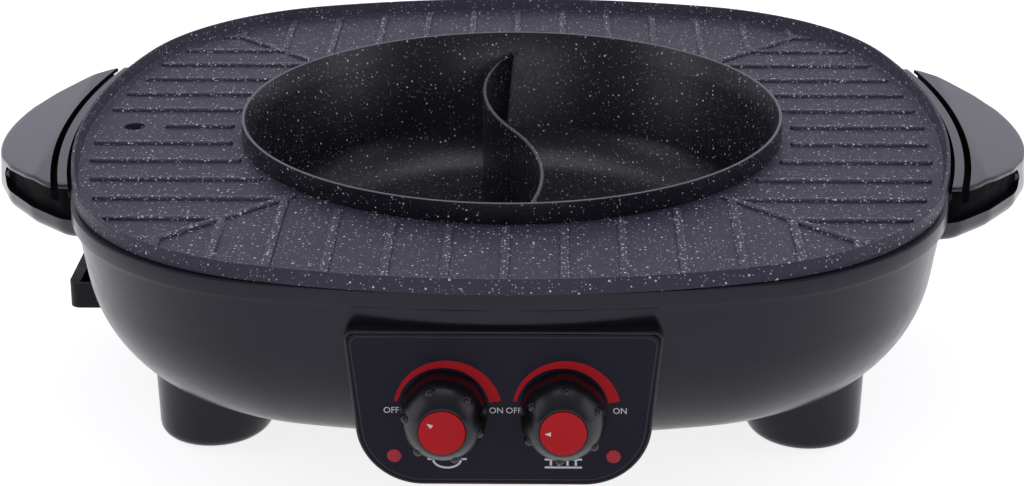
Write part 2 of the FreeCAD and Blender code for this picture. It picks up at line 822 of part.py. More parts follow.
def finger_hollow():
    """Room for the fingers, open at the bottom and closed towards the base by the root."""
    top = cook_h - grip_top_drop
    low = top - grip_h
    x0 = base_half + root_t
    y1 = grip_corner_y
    x1 = grip_corner_x - grip_wall
    points = [V(x0, -y1 - 18, low - 1), V(x1, -y1 + 4, low - 1),
              V(x1, y1 - 4, low - 1), V(x0, y1 + 18, low - 1)]
    height = grip_h - grip_fall - grip_wall + 1
    block = Part.Face(polygon(points)).extrude(V(0, 0, height))
    return rounded(block, 3.0, lambda e: e.BoundBox.ZLength > height * 0.9)


# Heating elements, tray and small gear
def tube(points, bends, radius):
    """Round tube along straight runs joined by tangent arcs."""
    edges = []
    last = points[0]
    for k in range(1, len(points) - 1):
        p, q, r = points[k - 1], points[k], points[k + 1]
        u = (p - q).normalize()
        w = (r - q).normalize()
        angle = u.getAngle(w)
        cut = bends[k - 1] / math.tan(angle / 2)
        start = q + u * cut
        end = q + w * cut
        middle = (u + w).normalize()
        dist = bends[k - 1] / math.sin(angle / 2) - bends[k - 1]
        edges.append(Part.LineSegment(last, start).toShape())
        edges.append(Part.Arc(start, q + middle * dist, end).toShape())
        last = end
    edges.append(Part.LineSegment(last, points[-1]).toShape())
    path = Part.Wire(edges)
    ring = Part.Wire(Part.Circle(points[0], points[1] - points[0], radius).toShape())
    return path.makePipeShell([ring], True, False)


def make_grill_element():
    z = grill_tube_z
    h = grill_tube_half
    g = leg_gap
    points = [V(g, grill_leg_end, z), V(g, h, z), V(h, h, z), V(h, -h, z),
              V(-h, -h, z), V(-h, h, z), V(-g, h, z), V(-g, grill_leg_end, z)]
    r = grill_tube_corner
    return tube(points, [leg_bend, r, r, r, r, leg_bend], tube_r)


def make_pot_element():
    z = pot_tube_z
    h = pot_tube_half
    g = leg_gap
    points = [V(g, pot_leg_end, z), V(g, h, z), V(h, h, z), V(h, -h, z),
              V(-h, -h, z), V(-h, h, z), V(-g, h, z), V(-g, pot_leg_end, z)]
    r = pot_tube_bend
    return tube(points, [leg_bend, r, r, r, r, leg_bend], tube_r)


def tray_curve(half, z):
    return squircle(half, half * base_side_ratio, tray_corner_r, z)


def make_tray():
    top = flange_z
    floor = tray_floor_z
    outer = loft([tray_curve(tray_half, top), tray_curve(tray_floor_half, floor - tray_t)])
    inner = loft([tray_curve(tray_half - tray_t, top + 0.01),
                  tray_curve(tray_floor_half - tray_t, floor)])
    flange = prism(tray_curve(tray_half + tray_flange, top - tray_t), tray_t)
    body = outer.fuse(flange).cut(inner)
    cuts = []
    for s in (-1, 1):
        cuts.append(cyl(tube_r + 1.2, 40, V(s * leg_gap, tray_floor_half - 12, pot_tube_z), V(0, 1, 0)))
    for x, y in tray_posts():
        cuts.append(cyl(screw_r, 8, V(x, y, top - 4)))
    return body.cut(group(cuts)).removeSplitter()


def make_clips():
    clips = []
    reach = tray_half + tray_flange * 0.6
    inside = grill_tube_half - tube_r
    for turn in range(4):
        for along in (-clip_along, clip_along):
            clip = box(inside, reach, along - clip_w / 2, along + clip_w / 2, flange_z,
                       flange_z + clip_t)
            clip.rotate(V(0, 0, 0), UP, 90 * turn)
            clips.append(clip)
    return group(clips)


def make_pot_supports():
    supports = []
    for turn in (45, 135, 225, 315):
        low = tray_floor_z
        high = pot_tube_z - tube_r
        leg = box(-3, 3, -clip_w / 2, clip_w / 2, low, high)
        radius = pot_tube_half * math.sqrt(2) - pot_tube_bend * (math.sqrt(2) - 1)
        leg.translate(V(radius, 0, 0))
        leg.rotate(V(0, 0, 0), UP, turn)
        supports.append(leg)
    return group(supports)


# Mains inlet
def inlet_pad():
    half_w = inlet_w / 2 + inlet_flange
    half_h = inlet_h / 2 + inlet_flange
    pad = box(-half_w, half_w, 140, inlet_y, inlet_z - half_h, inlet_z + half_h)
    return rounded(pad, 4.0, lambda e: e.BoundBox.YLength > 20)


def inlet_hole(clear):
    half_w = inlet_w / 2 - 2 + clear
    half_h = inlet_h / 2 - 2 + clear
    return box(-half_w, half_w, 120, inlet_y + 5, inlet_z - half_h, inlet_z + half_h)


def inlet_screw_points():
    x = inlet_w / 2 + inlet_flange - 1 - 3
    return [V(s * x, inlet_y, inlet_z) for s in (-1, 1)]


def make_inlet():
    half_w = inlet_w / 2 + inlet_flange - 1
    half_h = inlet_h / 2 + inlet_flange - 1
    flange = box(-half_w, half_w, inlet_y, inlet_y + inlet_flange_t,
                 inlet_z - half_h, inlet_z + half_h)
    flange = rounded(flange, 3.0, lambda e: e.BoundBox.YLength > 2)
    w = inlet_w / 2 - 2.3
    h = inlet_h / 2 - 2.3
    body = box(-w, w, inlet_y - inlet_depth, inlet_y + 1, inlet_z - h, inlet_z + h)
    socket = box(-w + 2, w - 2, inlet_y - inlet_depth + 3, inlet_y + 5,
                 inlet_z - h + 2, inlet_z + h - 2)
    holes = [cyl(screw_r, 6, at - V(0, 1, 0), V(0, 1, 0)) for at in inlet_screw_points()]
    pins = pin_solids()
    return flange.fuse(body).cut(group([socket] + holes + pins)).removeSplitter()


def pin_solids():
    start = inlet_y - inlet_depth - 5
    return [cyl(pin_r, pin_l + 5, V(s * pin_pitch / 2, start, inlet_z), V(0, 1, 0)) for s in (-1, 0, 1)]


# Drip cup, its channel and the spout that feeds it
def make_cup():
    body = box(-cup_out, -cup_in, -cup_half, cup_half, cup_low, cup_top)
    body = rounded(body, 5.0, lambda e: e.BoundBox.ZLength > 10 and e.BoundBox.XMax < -cup_out + 1)
    hollow = box(-cup_out + cup_front_t, -cup_in - cup_wall, -cup_half + cup_wall,
                 cup_half - cup_wall, cup_low + cup_wall, cup_top + 1)
    grip = box(-cup_out - 1, -cup_out + cup_front_t - cup_wall, -cup_half * 0.6,
               cup_half * 0.6, cup_low - 1, cup_low + (cup_top - cup_low) * 0.4)
    return body.cut(hollow).cut(grip)


def channel_box(grow):
    """The channel's section grown by one wall or clearance, open towards -x."""
    half = cup_half + runner_clear + grow
    return box(-runner_out, -runner_in + grow, -half, half,
               cup_low - runner_clear - grow, cup_top + runner_clear + grow)


def make_channel():
    """Sleeve in the bowl's side that the cup slides into."""
    inside = box(-runner_out - 1, -cup_in + runner_clear, -cup_half - runner_clear,
                 cup_half + runner_clear, cup_low - runner_clear, cup_top + runner_clear)
    return channel_box(runner_t).cut(inside)


def channel_slot():
    slot = channel_box(runner_t + 0.05)
    return slot.fuse(box(-cup_out, -runner_out + 1, -cup_half - 1, cup_half + 1,
                         cup_low - 1, cup_top + 1))


def spout_cut():
    return cyl(spout_r, 60, V(drain_x, 0, cup_top - 2))


def make_spout():
    top = pan_low_z - 1.0
    low = cup_top + 1.0
    funnel = cyl(spout_r - 0.1, top - low, V(drain_x, 0, low))
    bore = cyl(spout_r - 0.1 - spout_t, top - low + 2, V(drain_x, 0, low - 1))
    return funnel.cut(bore)


def make_terminal_block():
    """Screw terminals on the bowl's floor behind the bottom cover."""
    low = base_low + base_wall
    block = box(-block_half, block_half, block_y - block_d / 2, block_y + block_d / 2,
                low, low + block_h)
    cuts = []
    for k in range(4):
        x = (k - 1.5) * block_half / 2
        cuts.append(cyl(2.2, block_h, V(x, block_y, low + 3)))
    return block.cut(group(cuts))


def make_fuse():
    """Thermal fuse held against the tray from below."""
    z = tray_floor_z - tray_t - seat_gap - fuse_r
    body = cyl(fuse_r, 16, V(-8, 40, z), V(1, 0, 0))
    legs = [cyl(0.6, 10, V(x, 40, z), V(1, 0, 0)) for x in (-18, 8)]
    return body.multiFuse(legs)


def make_wiring():
    """Leads clipped along the bowl's floor from the terminal block to the switches."""
    leads = []
    r = lead_r
    z = base_low + base_wall + 0.1 + r
    tab_end = -panel_y + fascia_t + panel_wall + stat_d + tab_l
    for s, tab in ((-1, 11.0), (1, 13.0)):
        x = s * lead_x
        x1 = s * (knob_x + tab)
        rise_y = tab_end + lead_rise
        points = [V(s * block_half, block_y, z), V(x, block_y, z), V(x, -lead_front, z),
                  V(x1, -lead_front, z), V(x1, rise_y, z), V(x1, rise_y, knob_z),
                  V(x1, tab_end, knob_z)]
        leads.append(tube(points, [lead_bend, lead_bend, lead_bend, lead_tight, lead_tight], r))
    return group(leads)


def main():
    os.makedirs("parts", exist_ok=True)
    bowl = bowl_solid(0)
    hollow = bowl_solid(base_wall, 10.0)
    save("base_shell", make_base(bowl, hollow))
    outside = bowl.fuse(make_band())
    save("feet", make_feet(bowl))
    save("bottom_cover", make_cover())
    screws = [screw(V(x, y, base_low), UP, 6.0) for x, y in screw_points()]
    save("bottom_screws", group(screws))
    pads = four(cyl(pad_r - 0.1, pad_h, V(foot_x, -foot_y, 0)))
    save("foot_pads", group(pads))
    save("panel_housing", make_housing(outside))
    save("panel_fascia", make_fascia())
    make_controls()
    right = make_handle(outside)
    save("right_handle", right)
    save("left_handle", mirror_x(right))
    save("handle_screws", group(grip_screws() + [mirror_x(item) for item in grip_screws()]))
    save("grill_plate", make_plate())
    save("pot", make_pot())
    save("pot_divider", make_divider())
    save("heat_tray", make_tray())
    save("grill_element", make_grill_element())
    save("pot_element", make_pot_element())
    save("element_clips", make_clips())
    save("pot_element_supports", make_pot_supports())
    tray_screws = [screw(V(x, y, flange_z), V(0, 0, -1), 8.0) for x, y in tray_posts()]
    save("tray_screws", group(tray_screws))
    save("power_inlet", make_inlet())
    save("inlet_pins", group(pin_solids()))
    out = V(0, inlet_flange_t, 0)
    inlet_screws = [screw(at + out, V(0, -1, 0), inlet_screw_l) for at in inlet_screw_points()]
    save("inlet_screws", group(inlet_screws))
    save("drip_cup", make_cup())
    save("cup_channel", make_channel())
    save("drip_spout", make_spout())
    save("terminal_block", make_terminal_block())
    save("thermal_fuse", make_fuse())
    save("wiring", make_wiring())


main()
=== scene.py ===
# %% [markdown]
# # A table grill with a hot pot dropped into it
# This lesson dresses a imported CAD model. The CAD gives every size and every joint, and this
# script gives the looks: smooth skins for what shows, finishes for everything, a camera that
# stands where the photographer stood, and soft studio light. Lengths are written in
# millimetres, as a maker would, and turned into metres once, when a mesh is made.

# %% Load the frame
import math
import bmesh
import bpy
import numpy as np
from mathutils import Matrix, Vector


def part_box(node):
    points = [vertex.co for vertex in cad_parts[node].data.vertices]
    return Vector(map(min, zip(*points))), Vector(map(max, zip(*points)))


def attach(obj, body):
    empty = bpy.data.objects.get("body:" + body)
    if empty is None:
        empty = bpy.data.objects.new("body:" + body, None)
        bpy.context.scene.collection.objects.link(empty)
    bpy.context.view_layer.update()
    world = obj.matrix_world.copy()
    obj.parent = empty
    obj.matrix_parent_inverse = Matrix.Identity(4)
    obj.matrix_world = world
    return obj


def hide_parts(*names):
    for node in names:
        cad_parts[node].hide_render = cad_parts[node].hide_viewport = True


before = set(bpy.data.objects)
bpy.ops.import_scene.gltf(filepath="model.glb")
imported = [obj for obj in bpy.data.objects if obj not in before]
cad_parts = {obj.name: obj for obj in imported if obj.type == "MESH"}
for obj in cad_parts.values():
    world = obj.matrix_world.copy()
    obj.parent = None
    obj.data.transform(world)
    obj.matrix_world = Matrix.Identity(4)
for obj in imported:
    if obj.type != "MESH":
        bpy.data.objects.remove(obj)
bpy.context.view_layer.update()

MM = 0.001

# %% [markdown]
# ## Reading sizes from the frame
# A node's box tells where a piece lies, so the skins made here follow the CAD if it changes.

# %% Sizes of the main pieces
def span(node):
    """Lowest and highest corner of a CAD node, in millimetres, as two arrays."""
    low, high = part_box(node)
    return np.array(low) / MM, np.array(high) / MM


plate_high = span("grill_plate")[1]
pot_low, pot_high = span("pot")
shell_low = span("base_shell")[0]
plate_half = plate_high[0]
collar_r = pot_high[0]
rim_z = pot_high[2]
print("plate half width", plate_half, "pot rim radius", collar_r, "rim height", rim_z)

# %% [markdown]
# ## The camera
# The photograph was taken from a little above, through a long lens, with the frame shifted
# so that the appliance fills it. A shift keeps upright edges as they are, which turning the
# camera would not, so the aim point sits above the middle of the frame.

# %% Camera
TARGET = Vector((0.0, 0.0, 0.110))
CAMERA_DISTANCE = 1.0752
CAMERA_RISE = math.radians(18.91)
CAMERA_TURN = math.radians(-1.06)
CAMERA_ROLL = math.radians(-0.19)
FOCAL_PX = 2373.0
FRAME_W = 1024.0
FRAME_H = 486.0
AIM_PX = (511.9, 127.4)
SENSOR_MM = 36.0


def make_camera():
    """Camera at a distance and rise from the target, with the target at a set pixel."""
    data = bpy.data.cameras.new("camera")
    camera = bpy.data.objects.new("camera", data)
    bpy.context.scene.collection.objects.link(camera)
    level = CAMERA_DISTANCE * math.cos(CAMERA_RISE)
    away = Vector((-math.sin(CAMERA_TURN) * level, -math.cos(CAMERA_TURN) * level,
                   CAMERA_DISTANCE * math.sin(CAMERA_RISE)))
    camera.location = TARGET + away
    turn = (-away).to_track_quat("-Z", "Y").to_matrix()
    camera.rotation_euler = (turn @ Matrix.Rotation(CAMERA_ROLL, 3, "Z")).to_euler()
    data.sensor_width = SENSOR_MM
    data.lens = SENSOR_MM * FOCAL_PX / FRAME_W
    data.shift_x = (FRAME_W / 2 - AIM_PX[0]) / FRAME_W
    data.shift_y = -(FRAME_H / 2 - AIM_PX[1]) / FRAME_W
    data.clip_start = 0.01
    bpy.context.scene.camera = camera
    return camera


camera = make_camera()
print("camera at", np.round(camera.location, 4).tolist(), "lens", round(camera.data.lens, 1))

# %% [markdown]
# ## Surfaces from arrays
# Every skin here is a grid of points worked out in one go: rows are steps of a profile and
# columns are steps round an outline. These helpers turn grids into a mesh, close their
# seams, and point the faces outwards.

# %% Grids into meshes
SHARP_ANGLE = math.radians(38)
WELD = 1e-6


def grid_quads(rows, cols, wrap_rows, wrap_cols):
    """Corner numbers of every quad of a grid; a wrapped side also joins its last to its first."""
    number = np.arange(rows * cols).reshape(rows, cols)
    below = np.roll(number, -1, 0)
    right = np.roll(number, -1, 1)
    across = np.roll(below, -1, 1)
    quads = np.stack([number, right, across, below], -1)
    quads = quads[: rows if wrap_rows else rows - 1, : cols if wrap_cols else cols - 1]
    return quads.reshape(-1, 4)


def mesh_of(name, grids, weld=True):
    """One mesh from grids of millimetre points, each given as (points, wrap rows, wrap columns)."""
    points, quads, start = [], [], 0
    for grid, wrap_rows, wrap_cols in grids:
        rows, cols = grid.shape[:2]
        points.append(grid.reshape(-1, 3) * MM)
        quads.append(grid_quads(rows, cols, wrap_rows, wrap_cols) + start)
        start += rows * cols
    mesh = bpy.data.meshes.new(name)
    mesh.from_pydata(np.concatenate(points).tolist(), [], np.concatenate(quads).tolist())
    if weld:
        tidy(mesh)
    return mesh


def tidy(mesh):
    """Merge doubled points, drop faces with no area, and turn all faces outwards."""
    work = bmesh.new()
    work.from_mesh(mesh)
    bmesh.ops.remove_doubles(work, verts=work.verts, dist=WELD)
    bmesh.ops.dissolve_degenerate(work, edges=work.edges, dist=WELD)
    bmesh.ops.recalc_face_normals(work, faces=work.faces)
    work.to_mesh(mesh)
    work.free()
    mesh.shade_smooth()
    mesh.set_sharp_from_angle(angle=SHARP_ANGLE)


def piece(name, mesh, body, materials, nodes=()):
    """Link a mesh as a piece that rides on a body, wears finishes and stands for CAD nodes."""
    made = bpy.data.objects.new(name, mesh)
    bpy.context.scene.collection.objects.link(made)
    for material in materials:
        mesh.materials.append(material)
    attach(made, body)
    if nodes:
        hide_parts(*nodes)
    print(name, len(mesh.polygons), "faces")
    return made


# %% [markdown]
# ## Outlines
# The plate and the bowl share one kind of plan: four wide side arcs and four corner arcs
# that meet in line. Stepping along it by the direction of its normal makes every inset of
# the curve a simple shift along that normal.

# %% Outline helpers
RING_STEPS = 128         # steps in a quarter of a plan curve


def squircle(half, side_r, corner_r):
    """Points and normals of a closed plan curve of side arcs and corner arcs.

    A side arc is a circle of side_r about (half - side_r, 0), and a corner arc is a circle of
    corner_r about a point on the diagonal, placed so that the two touch. The normal's angle
    grows evenly with the length walked along each arc.
    """
    side_c = half - side_r
    corner_c = (side_c + math.sqrt(2 * (side_r - corner_r) ** 2 - side_c ** 2)) / 2
    meet = math.atan2(corner_c, corner_c - side_c)
    side_l = side_r * meet
    corner_l = corner_r * (math.pi / 2 - 2 * meet)
    walked = np.linspace(0, 2 * side_l + corner_l, RING_STEPS, endpoint=False)
    stops = [0, side_l, side_l + corner_l, 2 * side_l + corner_l]
    angle = np.interp(walked, stops, [0, meet, math.pi / 2 - meet, math.pi / 2])
    first = angle < meet
    last = angle > math.pi / 2 - meet
    centre_x = np.where(first, side_c, np.where(last, 0.0, corner_c))
    centre_y = np.where(last, side_c, np.where(first, 0.0, corner_c))
    radius = np.where(first | last, side_r, corner_r)
    normal = np.stack([np.cos(angle), np.sin(angle)], -1)
    quarter = np.stack([centre_x, centre_y], -1) + radius[:, None] * normal
    points, normals = [], []
    for turn in range(4):
        c, s = round(math.cos(math.pi / 2 * turn)), round(math.sin(math.pi / 2 * turn))
        spin = np.array([[c, s], [-s, c]])
        points.append(quarter @ spin)
        normals.append(normal @ spin)
    return np.concatenate(points), np.concatenate(normals)


def ring_at(points, z):
    """Plan points lifted to one height, or to a height for each point."""
    return np.concatenate([points, np.broadcast_to(np.reshape(z, (-1, 1)), (len(points), 1))], -1)


def circle_like(points, radius):
    """Points of a circle about the axis, each in the direction of one outline point."""
    return points / np.linalg.norm(points, axis=1)[:, None] * radius


def rounded_line(corners, radii, steps=6):
    """Polyline through corners, with each inner corner swapped for a tangent arc of its radius."""
    corners = np.array(corners, float)
    line = [corners[:1]]
    for before, corner, after, radius in zip(corners, corners[1:], corners[2:], radii):
        if radius <= 0:
            line.append(corner[None])
            continue
        back = (before - corner) / np.linalg.norm(before - corner)
        ahead = (after - corner) / np.linalg.norm(after - corner)
        opening = math.acos(np.clip(back @ ahead, -1, 1))
        middle = (back + ahead) / np.linalg.norm(back + ahead)
        centre = corner + middle * radius / math.sin(opening / 2)
        start = corner + back * radius / math.tan(opening / 2) - centre
        end = corner + ahead * radius / math.tan(opening / 2) - centre
        sweep = math.pi - opening
        share = np.linspace(0, 1, steps)[:, None]
        arc = (start * np.sin((1 - share) * sweep) + end * np.sin(share * sweep)) / math.sin(sweep)
        line.append(centre + arc)
    line.append(corners[-1:])
    return np.concatenate(line)


def revolve(profile, steps=192, centre=(0.0, 0.0)):
    """Grid of a (radius, height) profile turned about an upright axis; rows go along it."""
    angle = np.linspace(0, 2 * math.pi, steps, endpoint=False)
    radius = profile[:, :1]
    x = centre[0] + radius * np.cos(angle)
    y = centre[1] + radius * np.sin(angle)
    z = np.broadcast_to(profile[:, 1:], x.shape)
    return np.stack([x, y, z], -1)


# %% [markdown]
# ## Finishes
# Three families cover the whole appliance: the speckled non-stick coating, moulded plastic
# in several colours and gloss levels, and bare metal. Each is built from a few nodes, with
# its constant values on the shader's own sockets.

# %% Node helpers
def new_material(name, color, roughness, metallic=0.0):
    """A material with one Principled shader, and its nodes, links and shader for more work."""
    material = bpy.data.materials.new(name)
    material.use_nodes = True
    nodes = material.node_tree.nodes
    links = material.node_tree.links
    shader = nodes["Principled BSDF"]
    shader.inputs["Base Color"].default_value = (*color, 1)
    shader.inputs["Roughness"].default_value = roughness
    shader.inputs["Metallic"].default_value = metallic
    return material, nodes, links, shader


def place_of(nodes):
    """The Object coordinate, which stays on the surface whatever the view."""
    return nodes.new("ShaderNodeTexCoord").outputs["Object"]


def noise(nodes, links, where, scale, detail=3.0):
    made = nodes.new("ShaderNodeTexNoise")
    made.inputs["Scale"].default_value = scale
    made.inputs["Detail"].default_value = detail
    links.new(where, made.inputs["Vector"])
    return made.outputs["Fac"]


def remap(nodes, links, value, low, high, to_low, to_high):
    """Stretch a range of values onto another, clamped."""
    made = nodes.new("ShaderNodeMapRange")
    for key, number in zip(("From Min", "From Max", "To Min", "To Max"), (low, high, to_low, to_high)):
        made.inputs[key].default_value = number
    links.new(value, made.inputs["Value"])
    return made.outputs["Result"]


def blend_colors(nodes, links, factor, first, second):
    """Mix two colours, each a tuple or a socket, by a factor."""
    made = nodes.new("ShaderNodeMix")
    made.data_type = "RGBA"
    links.new(factor, made.inputs["Factor"])
    for key, color in ((6, first), (7, second)):
        if isinstance(color, tuple):
            made.inputs[key].default_value = (*color, 1)
        else:
            links.new(color, made.inputs[key])
    return made.outputs[2]


def bump(nodes, links, shader, height, strength, distance):
    made = nodes.new("ShaderNodeBump")
    made.inputs["Strength"].default_value = strength
    made.inputs["Distance"].default_value = distance
    links.new(height, made.inputs["Height"])
    links.new(made.outputs["Normal"], shader.inputs["Normal"])


# %% [markdown]
# ### Speckled non-stick coating
# The real coating is a dark sprayed base with pale flecks in it. A Voronoi pattern gives one
# seed per cell; a small disc round a seed is a fleck, and the cell's own random colour
# decides whether it has a fleck at all and how large, which keeps the scatter uneven.

# %% The coating
def flecks(nodes, links, where, scale, size, share):
    """Mask of small discs: near a cell's seed, in the given share of the cells."""
    cell = nodes.new("ShaderNodeTexVoronoi")
    cell.inputs["Scale"].default_value = scale
    links.new(where, cell.inputs["Vector"])
    pick = nodes.new("ShaderNodeSeparateColor")
    links.new(cell.outputs["Color"], pick.inputs["Color"])
    reach = remap(nodes, links, pick.outputs["Red"], 1 - share, 1.0, 0.0, size)
    inside = nodes.new("ShaderNodeMath")
    inside.operation = "SUBTRACT"
    links.new(reach, inside.inputs[0])
    links.new(cell.outputs["Distance"], inside.inputs[1])
    return remap(nodes, links, inside.outputs["Value"], 0.0, size * 0.35, 0.0, 1.0)


def coating(name, base, shade, fleck, roughness, fine, coarse, shine=0.25):
    """Sprayed coating: cloudy base colour, two sizes of flecks, and a fine orange-peel bump."""
    material, nodes, links, shader = new_material(name, base, roughness)
    where = place_of(nodes)
    cloud = remap(nodes, links, noise(nodes, links, where, 60.0), 0.35, 0.65, 0.0, 1.0)
    color = blend_colors(nodes, links, cloud, base, shade)
    for scale, size, share, level in (fine, coarse):
        mask = flecks(nodes, links, where, scale, size, share)
        dim = nodes.new("ShaderNodeMath")
        dim.operation = "MULTIPLY"
        dim.inputs[1].default_value = level
        links.new(mask, dim.inputs[0])
        color = blend_colors(nodes, links, dim.outputs["Value"], color, fleck)
    links.new(color, shader.inputs["Base Color"])
    shader.inputs["Specular IOR Level"].default_value = shine
    uneven = remap(nodes, links, noise(nodes, links, where, 900.0), 0.3, 0.7,
                   roughness - 0.06, roughness + 0.08)
    links.new(uneven, shader.inputs["Roughness"])
    bump(nodes, links, shader, noise(nodes, links, where, 1100.0, 2.0), 0.35, 0.0002)
    return material


plate_coat = coating("plate_coating", (0.039, 0.0365, 0.058), (0.048, 0.045, 0.068), (0.78, 0.78, 0.84), 0.46,
                     (800.0, 0.34, 0.95, 0.55), (450.0, 0.27, 0.85, 1.00))
rib_coat = coating("rib_coating", (0.042, 0.039, 0.061), (0.053, 0.050, 0.075), (0.80, 0.80, 0.86), 0.42,
                   (800.0, 0.42, 1.00, 0.75), (560.0, 0.36, 1.00, 1.00))
pot_coat = coating("pot_coating", (0.006, 0.006, 0.010), (0.009, 0.009, 0.015), (0.78, 0.78, 0.82), 0.31,
                   (800.0, 0.30, 0.90, 0.50), (430.0, 0.24, 0.80, 1.00), shine=0.42)
print("coatings made")


# %% [markdown]
# ### Moulded plastic and metal
# Moulded parts are never quite one colour or quite smooth. A slow noise tints them, and a
# faint bump breaks long reflections as a real mould does.

# %% Plastics and metals
def plastic(name, color, roughness, coat=0.0, wave=0.04, tint=0.12, shine=0.5):
    """Moulded plastic: slight cloudiness, uneven gloss and a long shallow wave in the surface."""
    material, nodes, links, shader = new_material(name, color, roughness)
    where = place_of(nodes)
    lighter = tuple(min(1.0, level * (1 + tint) + 0.002) for level in color)
    cloud = remap(nodes, links, noise(nodes, links, where, 25.0), 0.35, 0.65, 0.0, 1.0)
    links.new(blend_colors(nodes, links, cloud, color, lighter), shader.inputs["Base Color"])
    uneven = remap(nodes, links, noise(nodes, links, where, 140.0), 0.3, 0.7,
                   roughness * 0.85, roughness * 1.15)
    links.new(uneven, shader.inputs["Roughness"])
    shader.inputs["Specular IOR Level"].default_value = shine
    shader.inputs["Specular Tint"].default_value = (0.93, 0.90, 1.0, 1)
    shader.inputs["Coat Weight"].default_value = coat
    shader.inputs["Coat Roughness"].default_value = 0.08
    bump(nodes, links, shader, noise(nodes, links, where, 300.0, 2.0), wave, 0.0002)
    return material


def metal(name, color, roughness, streak=(1.0, 1.0, 1.0), scale=220.0):
    """Bare metal: fine marks, stretched along one direction where it was rolled or drawn."""
    material, nodes, links, shader = new_material(name, color, roughness, metallic=1.0)
    shape = nodes.new("ShaderNodeMapping")
    shape.inputs["Scale"].default_value = streak
    links.new(place_of(nodes), shape.inputs["Vector"])
    marks = noise(nodes, links, shape.outputs["Vector"], scale)
    darker = tuple(level * 0.78 for level in color)
    mask = remap(nodes, links, marks, 0.35, 0.65, 0.0, 1.0)
    links.new(blend_colors(nodes, links, mask, darker, color), shader.inputs["Base Color"])
    links.new(remap(nodes, links, marks, 0.3, 0.7, roughness * 0.8, roughness * 1.25),
              shader.inputs["Roughness"])
    bump(nodes, links, shader, marks, 0.08, 0.0001)
    return material


bowl_plastic = plastic("bowl_plastic", (0.008, 0.0075, 0.013), 0.24, shine=0.30)
grip_plastic = plastic("grip_plastic", (0.006, 0.006, 0.010), 0.16, coat=0.2)
# Painted shade: a matte near-black finish laid on the handle's end recesses and on the walls of its slot,
# where shade falls.
painted_shade_black = plastic("painted_shade_black", (0.0015, 0.0015, 0.002), 0.75, shine=0.08)
housing_plastic = plastic("housing_plastic", (0.007, 0.007, 0.010), 0.28, shine=0.35)
fascia_film = plastic("fascia_film", (0.008, 0.0075, 0.016), 0.36, wave=0.02, shine=0.15)
knob_plastic = plastic("knob_plastic", (0.004, 0.004, 0.005), 0.30, shine=0.45)
red_plastic = plastic("red_plastic", (0.58, 0.012, 0.016), 0.42, shine=0.2)
red_print = plastic("red_print", (0.50, 0.012, 0.016), 0.45, wave=0.01, shine=0.15)
white_print = plastic("white_print", (0.80, 0.80, 0.80), 0.45, wave=0.01)
line_print = plastic("line_print", (0.004, 0.004, 0.006), 0.40, wave=0.01)
lens_plastic = plastic("lens_plastic", (0.50, 0.012, 0.020), 0.20, shine=0.35)
inner_plastic = plastic("inner_plastic", (0.006, 0.006, 0.007), 0.50, shine=0.2)
pale_plastic = plastic("pale_plastic", (0.62, 0.60, 0.54), 0.50)
rubber = plastic("rubber", (0.018, 0.018, 0.019), 0.75, wave=0.3)
wire_sleeve = plastic("wire_sleeve", (0.30, 0.030, 0.025), 0.50)
tray_steel = metal("tray_steel", (0.46, 0.46, 0.48), 0.36, streak=(0.2, 3.0, 1.0))
tube_steel = metal("tube_steel", (0.16, 0.15, 0.15), 0.45)
screw_steel = metal("screw_steel", (0.60, 0.60, 0.61), 0.32)
brass = metal("brass", (0.72, 0.52, 0.22), 0.30)
cut_edge = metal("cut_edge", (0.17, 0.17, 0.19), 0.36, scale=600.0)
lamp_glass, _, _, lamp_shader = new_material("lamp_glass", (0.85, 0.45, 0.30), 0.1)
lamp_shader.inputs["Transmission Weight"].default_value = 0.7
print("finishes:", len(bpy.data.materials))

# %% [markdown]
# ## The cooking plate
# The plate is one casting: an outer wall that leans in, a narrow lip, a slope down to the
# cooking surface, and a round opening for the pot. All of it is one profile carried round
# the outline, except that the inner part changes from the outline's shape to a circle.

# %% Plate body
cook_z = plate_high[2] - 5.9
plate_t = 4.0
lip_lean = 0.5
lip_flat = 1.3
lip_slope = 1.5
pan_gap = 1.2
lip_drop = 0.3
opening_r = 119.6
shell_wall = 2.6
drain_at = (-171.5, 0.0)
drain_r = 4.7
plate_points, plate_normals = squircle(plate_half, 355.0, 118.0)


def plate_rings():
    """Rings of the plate: insets along the normals, then blends towards the pot's circle."""
    top = cook_z + 5.9
    inner = lip_lean + lip_flat
    rim = rounded_line([(0.0, cook_z - lip_drop), (lip_lean, top), (inner, top),
                        (inner + lip_slope, cook_z), (inner + lip_slope + 8, cook_z)],
                       (0.5, 0.4, 1.0))
    rings = [ring_at(plate_points - plate_normals * inset, z) for inset, z in rim]
    edge = plate_points - plate_normals * rim[-1, 0]
    circle = circle_like(plate_points, opening_r)
    for share in np.linspace(0, 1, 16)[1:]:
        rings.append(ring_at(edge * (1 - share) + circle * share, cook_z))
    low = cook_z - plate_t
    under = squircle(1.0, 2.40, 0.57)[0] * (191.5 - shell_wall - pan_gap)
    for share in np.linspace(0, 1, 10):
        rings.append(ring_at(circle * (1 - share) + under * share, low))
    rings.append(ring_at(under, cook_z - lip_drop))
    return np.stack(rings)


def cut_with(target, cutter_mesh, finish=0):
    """Subtract a closed cutter from a piece's mesh; the faces that it makes take one finish."""
    cutter_mesh.polygons.foreach_set("material_index", np.full(len(cutter_mesh.polygons), finish, np.int32))
    cutter = bpy.data.objects.new("cutter", cutter_mesh)
    bpy.context.scene.collection.objects.link(cutter)
    step = target.modifiers.new("cut", "BOOLEAN")
    step.operation = "DIFFERENCE"
    step.solver = "EXACT"
    step.object = cutter
    graph = bpy.context.evaluated_depsgraph_get()
    cut = bpy.data.meshes.new_from_object(target.evaluated_get(graph))
    target.modifiers.clear()
    old = target.data
    target.data = cut
    bpy.data.meshes.remove(old)
    bpy.data.objects.remove(cutter)
    tidy(cut)


